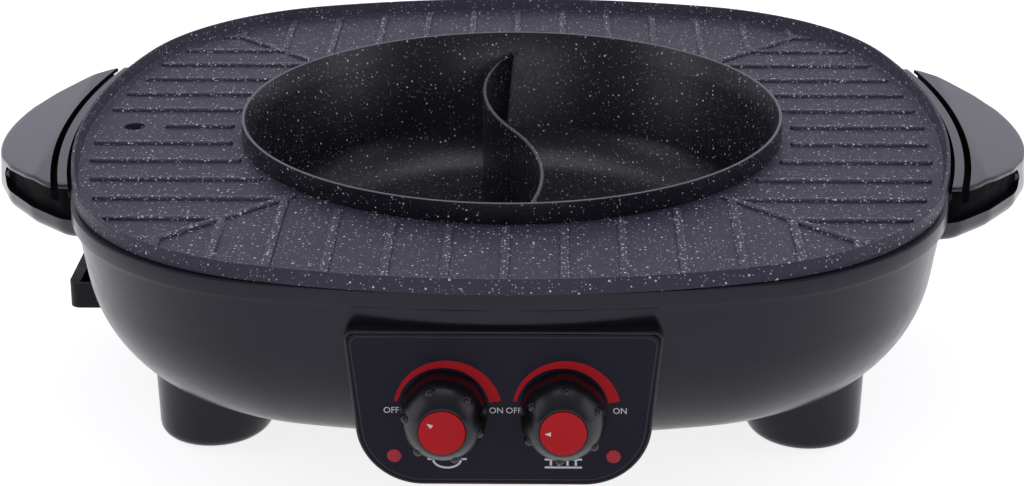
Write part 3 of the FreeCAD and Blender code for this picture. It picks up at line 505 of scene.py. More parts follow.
def rod(radius, low, high, at, steps=48):
    """Closed upright cylinder grid, its ends drawn in to the axis."""
    profile = np.array([(0, low), (radius, low), (radius, high), (0, high)], float)
    return revolve(profile, steps, at), False, True


plate = piece("plate_body", mesh_of("plate_body", [(plate_rings(), True, True)]),
              "grill_plate_body", [plate_coat], ["grill_plate"])
cut_with(plate, mesh_of("drain_cutter", [rod(drain_r, cook_z - 9, cook_z + 9, drain_at)]))
print("drain hole cut, faces now", len(plate.data.polygons))

# %% [markdown]
# ### Ribs
# Low ribs stand on a square grid. They run towards the sides in the left and right fields
# and towards the front and back in the other two, and a diagonal rib parts the fields. Each
# rib is a small closed bar with a crowned top and rounded ends, sunk a little into the plate.

# %% Ribs
RIB_PITCH = 23.2
RIB_HALF = 2.0
RIB_H = 1.25
RIB_MARGIN = 4.2
RIB_SINK = 0.4


def reach_of(direction, inset):
    """Distance from the axis to the plate's inner outline in one direction, by interpolation."""
    line = plate_points - plate_normals * inset
    angles = np.unwrap(np.arctan2(line[:, 1], line[:, 0]))
    radii = np.linalg.norm(line, axis=1)
    want = np.mod(np.arctan2(direction[1], direction[0]) - angles[0], 2 * math.pi) + angles[0]
    return np.interp(want, angles, radii, period=2 * math.pi)


def far_end(level, inset):
    """How far out a line parallel to x at y = level meets the plate's inset outline."""
    line = plate_points - plate_normals * inset
    side = line[(np.abs(line[:, 1]) < plate_half) & (line[:, 0] > 0)]
    order = np.argsort(side[:, 1])
    return np.interp(level, side[order, 1], side[order, 0])


def bar(start, end):
    """Closed rib from start to end: a crowned section whose width and height fall off
    as a quarter circle over the last rib half width at each end."""
    start, end = np.array(start, float), np.array(end, float)
    length = np.linalg.norm(end - start)
    along = (end - start) / length
    across = np.array([-along[1], along[0]])
    tip = np.sin(np.linspace(0, math.pi / 2, 6))
    near = (1 - np.cos(np.linspace(0, math.pi / 2, 6))) * RIB_HALF
    steps = np.concatenate([near, length - near[::-1]])
    width = np.concatenate([tip, tip[::-1]])[:, None]
    turn = np.linspace(0, math.pi, 9)
    square = np.sign(np.cos(turn)) * np.abs(np.cos(turn)) ** 0.55
    crown = np.sin(turn) ** 0.6
    sideways = np.concatenate([square, [-1.0, 1.0]]) * RIB_HALF
    up = np.concatenate([crown * RIB_H, [-RIB_SINK, -RIB_SINK]])
    plan = start + along * steps[:, None, None] + across * (sideways * width)[..., None]
    z = cook_z + np.where(up > 0, up * np.minimum(width * 1.2, 1.0), up)
    return np.concatenate([plan, z[..., None]], -1)


def spoke(turn, near, far, level):
    """A rib of one field, turned about the axis by quarter turns."""
    c, s = round(math.cos(turn)), round(math.sin(turn))
    a = (c * near - s * level, s * near + c * level)
    b = (c * far - s * level, s * far + c * level)
    return a, b


def rib_grids():
    inner_lip = lip_lean + lip_flat + lip_slope
    grids = []
    count = int((plate_half - inner_lip) / RIB_PITCH)
    for field in range(4):
        for k in range(-count, count + 1):
            level = k * RIB_PITCH
            hole = collar_r + RIB_MARGIN
            near = max(abs(level) + 1.0, math.sqrt(max(hole ** 2 - level ** 2, 0.0)))
            far = float(far_end(level, inner_lip + RIB_MARGIN))
            if far - near < 6:
                continue
            runs = [(near, far)]
            if field == 2 and k == 0:
                gap = drain_r + 9.0
                runs = [(near, -drain_at[0] - gap), (-drain_at[0] + gap, far)]
            for low, high in runs:
                if high - low > 4:
                    grids.append(bar(*spoke(field * math.pi / 2, low, high, level)))
    for field in range(4):
        turn = math.pi / 4 + field * math.pi / 2
        way = np.array([math.cos(turn), math.sin(turn)])
        grids.append(bar(way * (collar_r + RIB_MARGIN), way * reach_of(way, inner_lip + RIB_MARGIN)))
    return [(grid, False, True) for grid in grids]


piece("plate_ribs", mesh_of("plate_ribs", rib_grids()), "grill_plate_body", [rib_coat])

# %% [markdown]
# ## The pot
# The pot is spun: one profile turned about the axis. Its rim is machined after coating, so
# the top edge is bare metal, and a thin bright line shows where the collar meets the plate.

# %% Pot
wall_t = 2.4
neck_r = 116.9
neck_z = cook_z - 1.0
foot_r = neck_r - 9.0
floor_z = rim_z - 62.0
low_z = pot_low[2]
bend_r = 30.0


def inner_profile(steps=18):
    """Inside of the pot from the axis out: flat floor, a round bend, a leaning wall, a flared collar."""
    lean = math.atan2(neck_r - foot_r, neck_z - floor_z - bend_r)
    turn = np.linspace(0, math.pi / 2 - lean, steps)
    centre = foot_r - bend_r * math.cos(lean)
    bend = np.stack([centre + bend_r * np.sin(turn), floor_z + bend_r * (1 - np.cos(turn))], -1)
    rim_r = collar_r - 1.3
    flat = np.stack([np.linspace(0, centre, 12, endpoint=False), np.full(12, floor_z)], -1)
    wall = rounded_line([bend[-1], (neck_r, neck_z), (rim_r, rim_z)], (14.0,), 8)
    return np.concatenate([flat, bend, wall[1:]])


def pot_profile():
    """The whole section: inside, machined rim, collar, and the outside down to the axis."""
    inside = inner_profile()
    rim = rounded_line([inside[-2], (collar_r - 1.3, rim_z), (collar_r, rim_z),
                        (collar_r, cook_z + 0.05), (neck_r + wall_t, cook_z + 0.05)], (0.35, 0.35, 0.3), 4)
    bend = inside[12:30]
    centre = np.array([bend[0, 0], floor_z + bend_r])
    away = (bend - centre) / bend_r
    under = centre + away * (bend_r + wall_t)
    under[:, 1] += (low_z - under[0, 1]) * np.linspace(1, 0, len(under)) ** 2
    return np.concatenate([inside[:-1], rim[1:], under[::-1], [(0, low_z)]])


pot_mesh = mesh_of("pot_skin", [(revolve(pot_profile(), 256), False, True)])
piece("pot_skin", pot_mesh, "pot_body", [pot_coat, cut_edge], ["pot"])


def mark_faces(mesh, test, index):
    """Give the faces whose middle passes a test another finish."""
    middles = np.zeros(len(mesh.polygons) * 3)
    mesh.polygons.foreach_get("center", middles)
    chosen = test(middles.reshape(-1, 3) / MM)
    values = np.zeros(len(mesh.polygons), np.int32)
    mesh.polygons.foreach_get("material_index", values)
    values[chosen] = index
    mesh.polygons.foreach_set("material_index", values)
    print("faces with finish", index, ":", int(chosen.sum()))


mark_faces(pot_mesh, lambda m: (m[:, 2] > rim_z - 0.25) & (np.hypot(m[:, 0], m[:, 1]) > 119.0), 1)

# %% [markdown]
# ### The curved wall in the pot
# An upright wall in an S parts the pot. In plan it is two arcs of opposite bow. Its foot
# follows the inside of the pot, whose height is known at every radius, and it thickens a
# little there as a cast wall does.

# %% Divider
divider_top = rim_z - 9.5
bow = 14.0
half_t = 1.0
FOOT_SWELL = 1.6


def s_path(steps=160):
    """Plan of the wall: y falls evenly, and x swings on one circle, then on its mirror image."""
    end = collar_r - 2.2
    y = end * np.sin(np.linspace(math.pi / 2, -math.pi / 2, steps))
    chord = collar_r / 2
    radius = (chord ** 2 + bow ** 2) / (2 * bow)
    rise = np.sqrt(radius ** 2 - (np.abs(y) - chord) ** 2) - (radius - bow)
    x = -np.sign(y) * np.maximum(rise, 0)
    return np.stack([x, y], -1)


def divider_grid():
    """Up one side, over a rounded top and down the other, at every step of the plan."""
    path = s_path()
    along = np.gradient(path, axis=0)
    along /= np.linalg.norm(along, axis=1)[:, None]
    across = np.stack([-along[:, 1], along[:, 0]], -1)
    inside = inner_profile()
    radius = np.linalg.norm(path, axis=1)
    low = np.interp(radius, inside[:, 0], inside[:, 1]) - 0.3
    low = np.minimum(low, divider_top - 0.4)[:, None]
    up = np.linspace(0, 1, 14)[None, :] ** 1.4
    z = low + (divider_top - half_t - low) * up
    swell = half_t + FOOT_SWELL * np.exp(-(z - low) / 1.6)
    turn = np.linspace(0, math.pi, 7)[None, 1:-1]
    cap_z = np.maximum(divider_top - half_t, low) + half_t * np.sin(turn)
    cap_w = half_t * np.cos(turn) + 0 * low
    width = np.concatenate([swell, cap_w, -swell[:, ::-1]], 1)
    height = np.concatenate([z, cap_z, z[:, ::-1]], 1)
    plan = path[:, None, :] + across[:, None, :] * width[..., None]
    grid = np.concatenate([plan, height[..., None]], -1)
    middle = grid.mean(1, keepdims=True)
    return np.concatenate([(middle * 0 + grid[:1].mean(1, keepdims=True)).repeat(grid.shape[1], 1)[:1],
                           grid, grid[-1:].mean(1, keepdims=True).repeat(grid.shape[1], 1)])


piece("divider_wall", mesh_of("divider_wall", [(divider_grid(), False, True)]),
      "pot_body", [pot_coat], ["pot_divider"])

# %% [markdown]
# ## The bowl
# The base is a thin moulded bowl. One unit outline, scaled level by level, gives its plan,
# and the section is a leaning wall, a wide bend and a tighter one into the flat underside.
# The skin goes down the outside, across the underside to the cover's recess, and back up
# the inside, so it has the real wall thickness and closes on itself.

# %% Bowl section
base_half = 191.5
base_top = 109.4
base_low = shell_low[2]
draft = math.radians(8.6)
knee_r, heel_r = 68.0, 36.0
knee_turn = math.radians(44.0)
shell_t = shell_wall
BAND_H = 7.0
BAND_PROUD = 0.8
unit_points, unit_normals = squircle(1.0, 2.40, 0.57)


def bowl_section(offset, steps=12):
    """(half width, height) down the wall, moved inwards along its normal by the offset."""
    knee = np.linspace(draft, knee_turn, steps)
    heel = np.linspace(knee_turn, math.pi / 2, steps)[1:]
    drop = knee_r * (math.sin(knee_turn) - math.sin(draft)) + heel_r * (1 - math.sin(knee_turn))
    straight = base_top - base_low - drop
    start = np.array([base_half - straight * math.tan(draft), base_top - straight])
    bend = start + knee_r * np.stack([np.cos(knee) - math.cos(draft), math.sin(draft) - np.sin(knee)], -1)
    low = bend[-1] + heel_r * np.stack([np.cos(heel) - math.cos(knee_turn),
                                        math.sin(knee_turn) - np.sin(heel)], -1)
    line = np.concatenate([[(base_half, base_top)], bend, low])
    angle = np.concatenate([[draft], knee, heel])
    return line + offset * np.stack([-np.cos(angle), np.sin(angle)], -1)


def bowl_ring(half, z, offset=0.0):
    """The bowl's outline at one level: scaled to the wall's line, then inset by the offset."""
    return ring_at(unit_points * (half + offset) - unit_normals * offset, z)


def rounded_box_like(points, half_x, half_y, corner):
    """Where the ray towards each outline point leaves a box with rounded corners."""
    way = points / np.linalg.norm(points, axis=1)[:, None]
    c, s = np.abs(way[:, 0]), np.abs(way[:, 1])
    flat = np.minimum(half_x / np.maximum(c, 1e-9), half_y / np.maximum(s, 1e-9))
    cx, cy = half_x - corner, half_y - corner
    along = c * cx + s * cy
    round_r = along + np.sqrt(np.maximum(along ** 2 - (cx ** 2 + cy ** 2 - corner ** 2), 0))
    in_corner = (flat * c > cx) & (flat * s > cy)
    return way * np.where(in_corner, round_r, flat)[:, None]


def bowl_rings():
    outside = bowl_section(0.0)
    band_low = base_top - BAND_H
    wall_at_band = base_half - BAND_H * math.tan(draft)
    band_half = base_half + BAND_PROUD
    inside = bowl_section(shell_t)
    band = rounded_line([(wall_at_band - 3 * math.tan(draft), band_low - 3), (wall_at_band, band_low),
                         (band_half, band_low), (band_half, base_top), (inside[0, 0], base_top)],
                        (0.4, 0.5, 0.6), 4)
    rings = [bowl_ring(w, z) for w, z in outside[:0:-1]]
    rings += [bowl_ring(w, z) for w, z in band[:-1]]
    rings += [bowl_ring(w, min(z, base_top), shell_t) for w, z in inside]
    lap = rounded_box_like(unit_points, 78.0, 104.0, 16.0)
    gap = rounded_box_like(unit_points, 70.0, 96.0, 16.0)
    rings += [ring_at(gap, base_low + shell_t), ring_at(gap, base_low + 1.6),
              ring_at(lap, base_low + 1.6), ring_at(lap, base_low)]
    return np.stack(rings)


bowl = piece("bowl", mesh_of("bowl", [(bowl_rings(), True, True)]), "base",
             [bowl_plastic], ["base_shell"])

# %% [markdown]
# ### Openings in the bowl
# Closed cutters make the mouth of the drip cup's channel and the hole for the mains inlet.

# %% Cut the bowl
def block(low, high):
    """Closed box as a grid of four rings, its ends drawn in to a line."""
    x0, y0, z0 = low
    x1, y1, z1 = high
    square = np.array([(x0, y0), (x1, y0), (x1, y1), (x0, y1)], float)
    middle = np.broadcast_to(square.mean(0), square.shape)
    rings = [ring_at(middle, z0), ring_at(square, z0), ring_at(square, z1), ring_at(middle, z1)]
    return np.stack(rings), False, True


channel_low, channel_high = span("cup_channel")
mouth = block(channel_low - (40, 0, 0), channel_high)
socket = block((-14.8, 120, 56.2), (14.8, 200, 75.8))
cut_with(bowl, mesh_of("mouth_cutter", [mouth, socket]))
print("bowl faces after cutting", len(bowl.data.polygons))


# %% [markdown]
# ### Points on the bowl's side
# Feet, handles, panel and inlet pad all end on the bowl's curved side. Two small functions
# give that side: how far out it is at a height, and how high it is under a point.

# %% The bowl's side as functions
side_line = bowl_section(0.0)[::-1]
unit_angle = np.unwrap(np.arctan2(unit_points[:, 1], unit_points[:, 0]))
unit_radius = np.linalg.norm(unit_points, axis=1)


def gauge(x, y):
    """Half width of the scaled outline that passes through a point."""
    angle = np.mod(np.arctan2(y, x), 2 * math.pi)
    return np.hypot(x, y) / np.interp(angle, unit_angle, unit_radius, period=2 * math.pi)


def side_height(x, y):
    """Height of the bowl's outer surface over a point of the plan."""
    return np.interp(gauge(x, y), side_line[:, 0], side_line[:, 1])


def side_reach(level, z):
    """Distance of the bowl's side from the middle, at a height and a sideways offset."""
    half = np.interp(z, side_line[:, 1], side_line[:, 0])
    quarter = unit_points[:RING_STEPS]
    return half * np.interp(np.abs(level) / half, quarter[:, 1], quarter[:, 0])


# %% [markdown]
# ### Feet
# Each foot is a slightly leaning cone that grows into the bowl. Its grid runs from the pad's
# pocket out and up, and every column stops inside the bowl's wall, at its own height.

# %% Feet
FOOT_AT = (128.0, 84.0)
FOOT_R, FOOT_TOP_R, FOOT_SHIFT, FOOT_TOP_Z = 23.0, 35.0, 9.0, 46.5
FOOT_EDGE = 5.0
PAD_R, PAD_H, FOOT_LOW = 14.0, 3.0, 1.0
FOOT_STEPS = 72


def foot_grid(side_x, side_y):
    turn = np.linspace(0, 2 * math.pi, FOOT_STEPS, endpoint=False)
    way = np.stack([np.cos(turn), np.sin(turn)], -1)

    def at(z, inset=0.0):
        share = z / FOOT_TOP_Z
        centre = np.array(FOOT_AT) - FOOT_SHIFT * share[..., None]
        radius = FOOT_R + (FOOT_TOP_R - FOOT_R) * share - inset
        return centre + way * radius[..., None]

    flat = np.zeros(FOOT_STEPS)
    rows = [(np.broadcast_to(FOOT_AT, way.shape) + way * r, flat + z)
            for r, z in ((0, PAD_H), (PAD_R, PAD_H), (PAD_R, FOOT_LOW))]
    for a in np.linspace(0, math.pi / 2, 8):
        z = flat + FOOT_LOW + FOOT_EDGE * (1 - math.cos(a))
        rows.append((at(z, FOOT_EDGE * (1 - math.sin(a))), z))
    top = flat + 35.0
    for _ in range(25):
        plan = at(top)
        top = side_height(plan[:, 0], plan[:, 1]) + shell_t / 2
    for share in np.linspace(0, 1, 8)[1:]:
        z = (FOOT_LOW + FOOT_EDGE) * (1 - share) + top * share
        rows.append((at(z), z))
    rim = at(top)
    middle = rim.mean(0)
    for share in np.linspace(0, 1, 7)[1:]:
        plan = rim * (1 - share) + middle * share
        rows.append((plan, side_height(plan[:, 0], plan[:, 1]) + shell_t / 2))
    grid = np.stack([np.concatenate([plan, z[:, None]], -1) for plan, z in rows])
    return grid * (side_x, side_y, 1.0), False, True


piece("feet_skin", mesh_of("feet_skin", [foot_grid(sx, sy) for sx in (-1, 1) for sy in (-1, 1)]),
      "base", [bowl_plastic], ["feet"])

# %% [markdown]
# ## Handles
# A handle is a wide flat loop: its top lies level with the plate and falls outwards, a
# narrow slot parts it from a ledge that follows the plate, and fingers reach in from below.
# It is a closed outline carried up a rounded section that dips into a recess at each end;
# the side towards the bowl is pushed onto the bowl's own surface. Slot and finger hollow are
# then cut. The faces of the end recesses and of the slot wear a near-black painted shade.

# %% Handle outline
GRIP_TOP = cook_z + 2.3
GRIP_LOW = span("right_handle")[0][2]
GRIP_FALL = 5.5
GRIP_LOW_R = 6.0
GRIP_EDGE_R = 1.1
LEDGE_W, SLOT_W, SLOT_DEPTH = 5.5, 3.0, 9.0
GRIP_STEPS = 220


def resample(line, count):
    """Points evenly spaced along a closed line, and its outward normals."""
    closed = np.concatenate([line, line[:1]])
    walked = np.concatenate([[0], np.cumsum(np.linalg.norm(np.diff(closed, axis=0), axis=1))])
    want = np.linspace(0, walked[-1], count, endpoint=False)
    points = np.stack([np.interp(want, walked, closed[:, k]) for k in (0, 1)], -1)
    along = np.roll(points, -1, 0) - np.roll(points, 1, 0)
    along /= np.linalg.norm(along, axis=1)[:, None]
    return points, np.stack([along[:, 1], -along[:, 0]], -1)


GRIP_REACH = span("right_handle")[1][0]


def grip_outline(ends, radii):
    """One end of the loop, an outer side that is a shallow arc to the reach, the other end."""
    ends = np.array(ends, float)
    corner_x, corner_y = ends[-1, 0], abs(ends[-1, 1])
    rise = GRIP_REACH - corner_x
    radius = (corner_y ** 2 + rise ** 2) / (2 * rise)
    y = np.linspace(-corner_y, corner_y, 11)[1:-1]
    arc = np.stack([GRIP_REACH - radius + np.sqrt(radius ** 2 - y ** 2), y], -1)
    corners = np.concatenate([ends, arc, ends[::-1] * (1, -1)])
    line = rounded_line(corners, list(radii) + [0] * len(arc) + list(radii[::-1]), 8)
    return resample(line, GRIP_STEPS)[0]


grip_high = grip_outline([(172, -84), (194, -82.5), (207, -67), (217.5, -51), (225, -34)],
                         (12, 14, 20, 20))
grip_under = grip_outline([(172, -88), (188, -86), (204.5, -70), (218.5, -50.5), (226.5, -31)],
                          (14, 22, 22, 18))


def grip_top(x):
    start = plate_half + LEDGE_W + SLOT_W
    return GRIP_TOP - GRIP_FALL * np.clip((x - start) / (GRIP_REACH - start), 0, None)


def grip_level(share, inset):
    """Outline part way up the side, from the lower one to the upper one, moved inwards."""
    ease = share * share * (3 - 2 * share)
    plan = grip_under * (1 - ease) + grip_high * ease
    along = np.roll(plan, -1, -2) - np.roll(plan, 1, -2)
    along /= np.linalg.norm(along, axis=-1, keepdims=True)
    return plan - np.stack([along[..., 1], -along[..., 0]], -1) * inset


POCKET_LOW, POCKET_SHELL, POCKET_DEPTH = 97.5, 1.8, 3.5
POCKET_END, POCKET_FADE = 42.0, 5.0


def grip_sides():
    """Rows up the side. In each end face they dip into a recess that closes in an arc."""
    start = GRIP_LOW + GRIP_LOW_R
    top = grip_top(grip_high[:, 0])
    inwards = np.roll(grip_high, -1, 0) - np.roll(grip_high, 1, 0)
    open_side = -inwards[:, 1] < 0.5 * np.linalg.norm(inwards, axis=1)
    near = np.clip((np.abs(grip_high[:, 1]) - POCKET_END) / POCKET_FADE, 0, 1) * open_side
    swell = np.sqrt(1 - (1 - near) ** 2)
    middle, half = (top - POCKET_SHELL + POCKET_LOW) / 2, (top - POCKET_SHELL - POCKET_LOW) / 2
    lower, upper = middle - half * swell, middle + half * swell
    deep, flat = POCKET_DEPTH * swell, np.zeros(GRIP_STEPS)
    steps = [(start + (lower - start) * share, flat) for share in np.linspace(0, 1, 5)[1:]]
    steps += [(lower + (upper - lower) * share, deep) for share in (0, 0.5, 1)]
    steps += [(upper, flat), ((upper + top - GRIP_EDGE_R) / 2, flat)]
    rows = []
    for z, inset in steps:
        share = (z - start) / (top - GRIP_EDGE_R - start)
        rows.append(ring_at(grip_level(share[:, None], inset[:, None]), z))
    return rows


def in_pocket(middles):
    """Faces that lie inside the side's own outline, at the height of the recess; they take the painted shade.
    """
    x, y, z = np.abs(middles[:, 0]), middles[:, 1], middles[:, 2]
    start = GRIP_LOW + GRIP_LOW_R
    share = np.clip((z - start) / (grip_top(x) - GRIP_EDGE_R - start), 0, 1)
    side = grip_level(share[:, None, None], 0.0)
    gap = np.linalg.norm(np.stack([x, y], -1)[:, None] - side, axis=2).min(1)
    high = grip_top(x) - POCKET_SHELL + 0.3
    return (gap > 1.3) & (z > POCKET_LOW - 0.1) & (z < high) & (np.abs(y) > POCKET_END)


def grip_grid():
    low = GRIP_LOW
    rows = []
    under = grip_level(0.0, GRIP_LOW_R)
    spine = np.stack([np.full(GRIP_STEPS, 199.0), np.clip(under[:, 1], -55, 55)], -1)
    for share in np.linspace(1, 0, 6, endpoint=False):
        rows.append(ring_at(under * (1 - share) + spine * share, low))
    for a in np.linspace(0, math.pi / 2, 9):
        rows.append(ring_at(grip_level(0.0, GRIP_LOW_R * (1 - math.sin(a))),
                            low + GRIP_LOW_R * (1 - math.cos(a))))
    rows += grip_sides()
    for a in np.linspace(0, math.pi / 2, 6):
        plan = grip_level(1.0, GRIP_EDGE_R * (1 - math.cos(a)))
        rows.append(ring_at(plan, grip_top(plan[:, 0]) - GRIP_EDGE_R * (1 - math.sin(a))))
    inner = grip_level(1.0, GRIP_EDGE_R)
    for share in np.linspace(0, 1, 12)[1:]:
        plan = inner * (1 - share) + spine * share
        rows.append(ring_at(plan, grip_top(plan[:, 0])))
    grid = np.stack(rows)
    wall = side_reach(grid[..., 1], grid[..., 2]) - shell_t / 2
    rim = np.interp(np.abs(grid[..., 1]), plate_points[:RING_STEPS, 1], plate_points[:RING_STEPS, 0]) + 1.6
    grid[..., 0] = np.maximum(grid[..., 0], np.where(grid[..., 2] > base_top - 2.4, rim, wall))
    return grid, False, True


def slot_cutter():
    rings = [ring_at(plate_points + plate_normals * out, z)
             for out, z in ((LEDGE_W, GRIP_TOP + 3), (LEDGE_W + SLOT_W, GRIP_TOP + 3),
                            (LEDGE_W + SLOT_W, GRIP_TOP - SLOT_DEPTH), (LEDGE_W, GRIP_TOP - SLOT_DEPTH))]
    return np.stack(rings), True, True


def finger_cutter():
    """Prism with rounded corners, narrower at its top edge, from below the grip upwards."""
    low = GRIP_LOW
    x0, x1, y1 = 200.5, 220.0, 43.0
    corners = np.array([(x0, -y1 - 18), (x1, -y1 + 4), (x1, y1 - 4), (x0, y1 + 18)], float)
    loop = np.concatenate([corners[-1:], corners, corners[:1]])
    line, normals = resample(rounded_line(loop, (3, 3, 3, 3), 6)[1:-1], 96)
    middle = np.broadcast_to(line.mean(0), line.shape)
    high = low + 11.0
    rings = [ring_at(middle, low - 2), ring_at(line, low - 2)]
    rings += [ring_at(line - normals * 1.5 * (1 - math.cos(a)), high - 1.5 * (1 - math.sin(a)))
              for a in np.linspace(0, math.pi / 2, 5)]
    rings.append(ring_at(middle, high))
    return np.stack(rings), False, True


def flipped(grids, side):
    return [(grid * (side, 1, 1), wrap_rows, wrap_cols) for grid, wrap_rows, wrap_cols in grids]


for side, name in ((1, "right"), (-1, "left")):
    grip = piece(name + "_grip", mesh_of(name + "_grip", flipped([grip_grid()], side)), "base",
                 [grip_plastic, painted_shade_black], [name + "_handle"])
    # The recess faces, and below them the faces cut by the slot, get the near-black painted shade.
    mark_faces(grip.data, in_pocket, 1)
    cut_with(grip, mesh_of("slot", flipped([slot_cutter()], side)), 1)
    cut_with(grip, mesh_of("fingers", flipped([finger_cutter()], side)))
    print(name, "handle faces", len(grip.data.polygons))

# %% [markdown]
# ## Control panel
# The housing is a shield that stands upright in front of the bowl. Its rim stays proud of a
# printed film that lies in a shallow recess. The back of the housing runs into the bowl's
# side.

# %% Housing
PANEL_Y = 192.0
PANEL_TOP, PANEL_LOW = 94.2, 29.2
PANEL_HALF = (61.3, 54.6)
PANEL_R = (3.5, 26.0)
PANEL_STEPS = 240
fascia_low = span("panel_fascia")[0]


def arc_through(a, b, c, steps):
    """Points of the circle through three points, from the first to the last."""
    a, b, c = (np.array(p, float) for p in (a, b, c))
    lines = np.stack([b - a, c - a]) * 2
    centre = np.linalg.solve(lines, [b @ b - a @ a, c @ c - a @ a])
    first = math.atan2(*(a - centre)[::-1])
    last = first + (math.atan2(*(c - centre)[::-1]) - first + math.pi) % (2 * math.pi) - math.pi
    turn = np.linspace(first, last, steps)
    return centre + np.linalg.norm(a - centre) * np.stack([np.cos(turn), np.sin(turn)], -1)


def shield(inset):
    """Outline in (x, z): straight top, sides that lean in, wide rounded lower corners."""
    top, low = PANEL_TOP - inset, PANEL_LOW + inset
    right = rounded_line([(0, top), (PANEL_HALF[0] - inset, top), (PANEL_HALF[1] - inset, low), (0, low)],
                         (PANEL_R[0], PANEL_R[1] - inset), 24)
    return np.concatenate([right, right[::-1] * (-1, 1)])


def housing_grid():
    line, normals = resample(shield(0.0)[::-1], PANEL_STEPS)
    middle = np.broadcast_to(np.array([0.0, 62.0]), line.shape)
    rows = []
    for share in np.linspace(1, 0, 8, endpoint=False):
        plan = line * (1 - share) + middle * share
        back = side_reach(plan[:, 0], np.maximum(plan[:, 1], 31.5)) - shell_t / 2
        rows.append((plan, -back))
    sunk = line - np.array([0.0, 2.0]) * (line[:, 1:] > PANEL_TOP - 3.6)
    rows.append((sunk, -(side_reach(sunk[:, 0], np.maximum(sunk[:, 1], 31.5)) - shell_t / 2)))
    front = rounded_line([(0.0, 6.0), (0.0, 0.0), (1.3, 0.0), (1.3, 1.2), (2.3, 1.2)], (1.0, 0.3, 0.2), 6)
    rows += [(line - normals * inset, np.full(len(line), back - PANEL_Y)) for inset, back in front]
    rows.append((middle, np.full(len(line), 1.2 - PANEL_Y)))
    return np.stack([np.stack([plan[:, 0], y, plan[:, 1]], -1) for plan, y in rows]), False, True


housing = piece("panel_housing_skin", mesh_of("panel_housing_skin", [housing_grid()]), "base",
                [housing_plastic], ["panel_housing"])

# %% [markdown]
# ### Printing on the panel
# Thin printed shapes lie on the film: a dark line near its edge, a red wedge over each knob
# that widens towards ON, plain OFF and ON words, and a plain pictogram under each knob.

# %% Prints
INK = 0.12
KNOB_X, KNOB_Z = 22.8, 61.0
face_y = fascia_low[1]


def inked(grid_xz, wrap_rows=False, wrap_cols=False):
    """Two sheets of one (x, z) grid, one ink thickness apart, joined round the edge."""
    rows, cols = grid_xz.shape[:2]
    sheets = [np.stack([grid_xz[..., 0], np.full((rows, cols), face_y - lift), grid_xz[..., 1]], -1)
              for lift in (INK, -0.05)]
    if wrap_cols:
        loop = np.concatenate([sheets[0], sheets[1][::-1]])
        return loop, True, True
    return np.concatenate([sheets[0], sheets[1][:, ::-1]], 1), False, True


def wedge(centre_x):
    """Ring sector over a knob: its outer edge swells as it runs from OFF to ON."""
    turn = np.radians(np.linspace(168, 11, 90))[:, None]
    share = np.linspace(0, 1, 90)[:, None]
    inner = 18.2 - 0.6 * share
    outer = 19.5 + 2.7 * share
    radius = inner + (outer - inner) * np.linspace(0, 1, 5)
    return np.stack([centre_x + radius * np.cos(turn), KNOB_Z + radius * np.sin(turn)], -1)


def border(inset, width):
    line, normals = resample(shield(inset)[::-1], PANEL_STEPS)
    return np.stack([line, line - normals * width])


def loop_line(points, width):
    """A closed stroke of even width round a list of points."""
    line, normals = resample(np.array(points, float), 120)
    return np.stack([line + normals * width / 2, line - normals * width / 2])


def stroke(a, b, width):
    a, b = np.array(a, float), np.array(b, float)
    across = np.array([-(b - a)[1], (b - a)[0]]) / np.linalg.norm(b - a) * width / 2
    return np.stack([np.stack([a + across, a - across]), np.stack([b + across, b - across])])


def closed_sheet(grid_xz):
    """An inked patch with both of its short ends closed."""
    loop, _, _ = inked(grid_xz)
    ends = [np.broadcast_to(loop[k].mean(0), loop[k].shape)[None] for k in (0, -1)]
    return np.concatenate([ends[0], loop, ends[1]]), False, True


def film_grid():
    line, _ = resample(shield(1.45)[::-1], PANEL_STEPS)
    middle = np.broadcast_to(np.array([0.0, 62.0]), line.shape)
    rows = [(middle, 1.15 - PANEL_Y), (line, 1.15 - PANEL_Y), (line, face_y), (middle, face_y)]
    return np.stack([np.stack([plan[:, 0], np.full(len(plan), y), plan[:, 1]], -1)
                     for plan, y in rows]), False, True


def bore(x, z, radius, steps=40):
    """Closed rod along y through the panel, to cut a hole for a shaft or a lens."""
    upright = revolve(np.array([(0, -202), (radius, -202), (radius, -178), (0, -178)], float), steps)
    return np.stack([upright[..., 0] + x, upright[..., 2], upright[..., 1] + z], -1), False, True


film = piece("panel_film", mesh_of("panel_film", [film_grid()]), "base",
             [fascia_film], ["panel_fascia"])
for target in (film, housing):
    cut_with(target, mesh_of("bores", [bore(x, KNOB_Z, 5.0) for x in (-KNOB_X, KNOB_X)]
                             + [bore(x, 41.8, 2.6) for x in (-42.3, 42.3)]))
wedges = mesh_of("red_wedges", [closed_sheet(wedge(x)) for x in (-KNOB_X, KNOB_X)])
piece("red_wedges", wedges, "base", [red_print])
line_mesh = mesh_of("border_line", [inked(border(2.35, 0.35), wrap_cols=True)])
piece("border_line", line_mesh, "base", [line_print])


def pot_sign(cx, cz):
    """Plain pictogram of a pot: a rounded bowl, a rim stroke and two short handles."""
    turn = np.linspace(math.pi, 2 * math.pi, 20)
    body = np.stack([cx + 5.4 * np.cos(turn), cz + 0.9 + 3.6 * np.sin(turn)], -1)
    return [inked(loop_line(body, 0.8), wrap_cols=True),
            closed_sheet(stroke((cx - 7.6, cz + 1.0), (cx + 7.6, cz + 1.0), 0.8))]


def grill_sign(cx, cz):
    """Plain pictogram of a grill: a grate stroke, four bars below it and a base stroke."""
    bars = [closed_sheet(stroke((cx + dx, cz - 1.6), (cx + dx, cz + 0.6), 0.9))
            for dx in (-4.8, -1.6, 1.6, 4.8)]
    return bars + [closed_sheet(stroke((cx - 7.2, cz + z), (cx + 7.2, cz + z), 0.8)) for z in (1.0, -2.4)]


signs = mesh_of("panel_signs", pot_sign(-KNOB_X + 0.9, 39.4) + grill_sign(KNOB_X + 0.2, 39.4))
piece("panel_signs", signs, "base", [white_print])

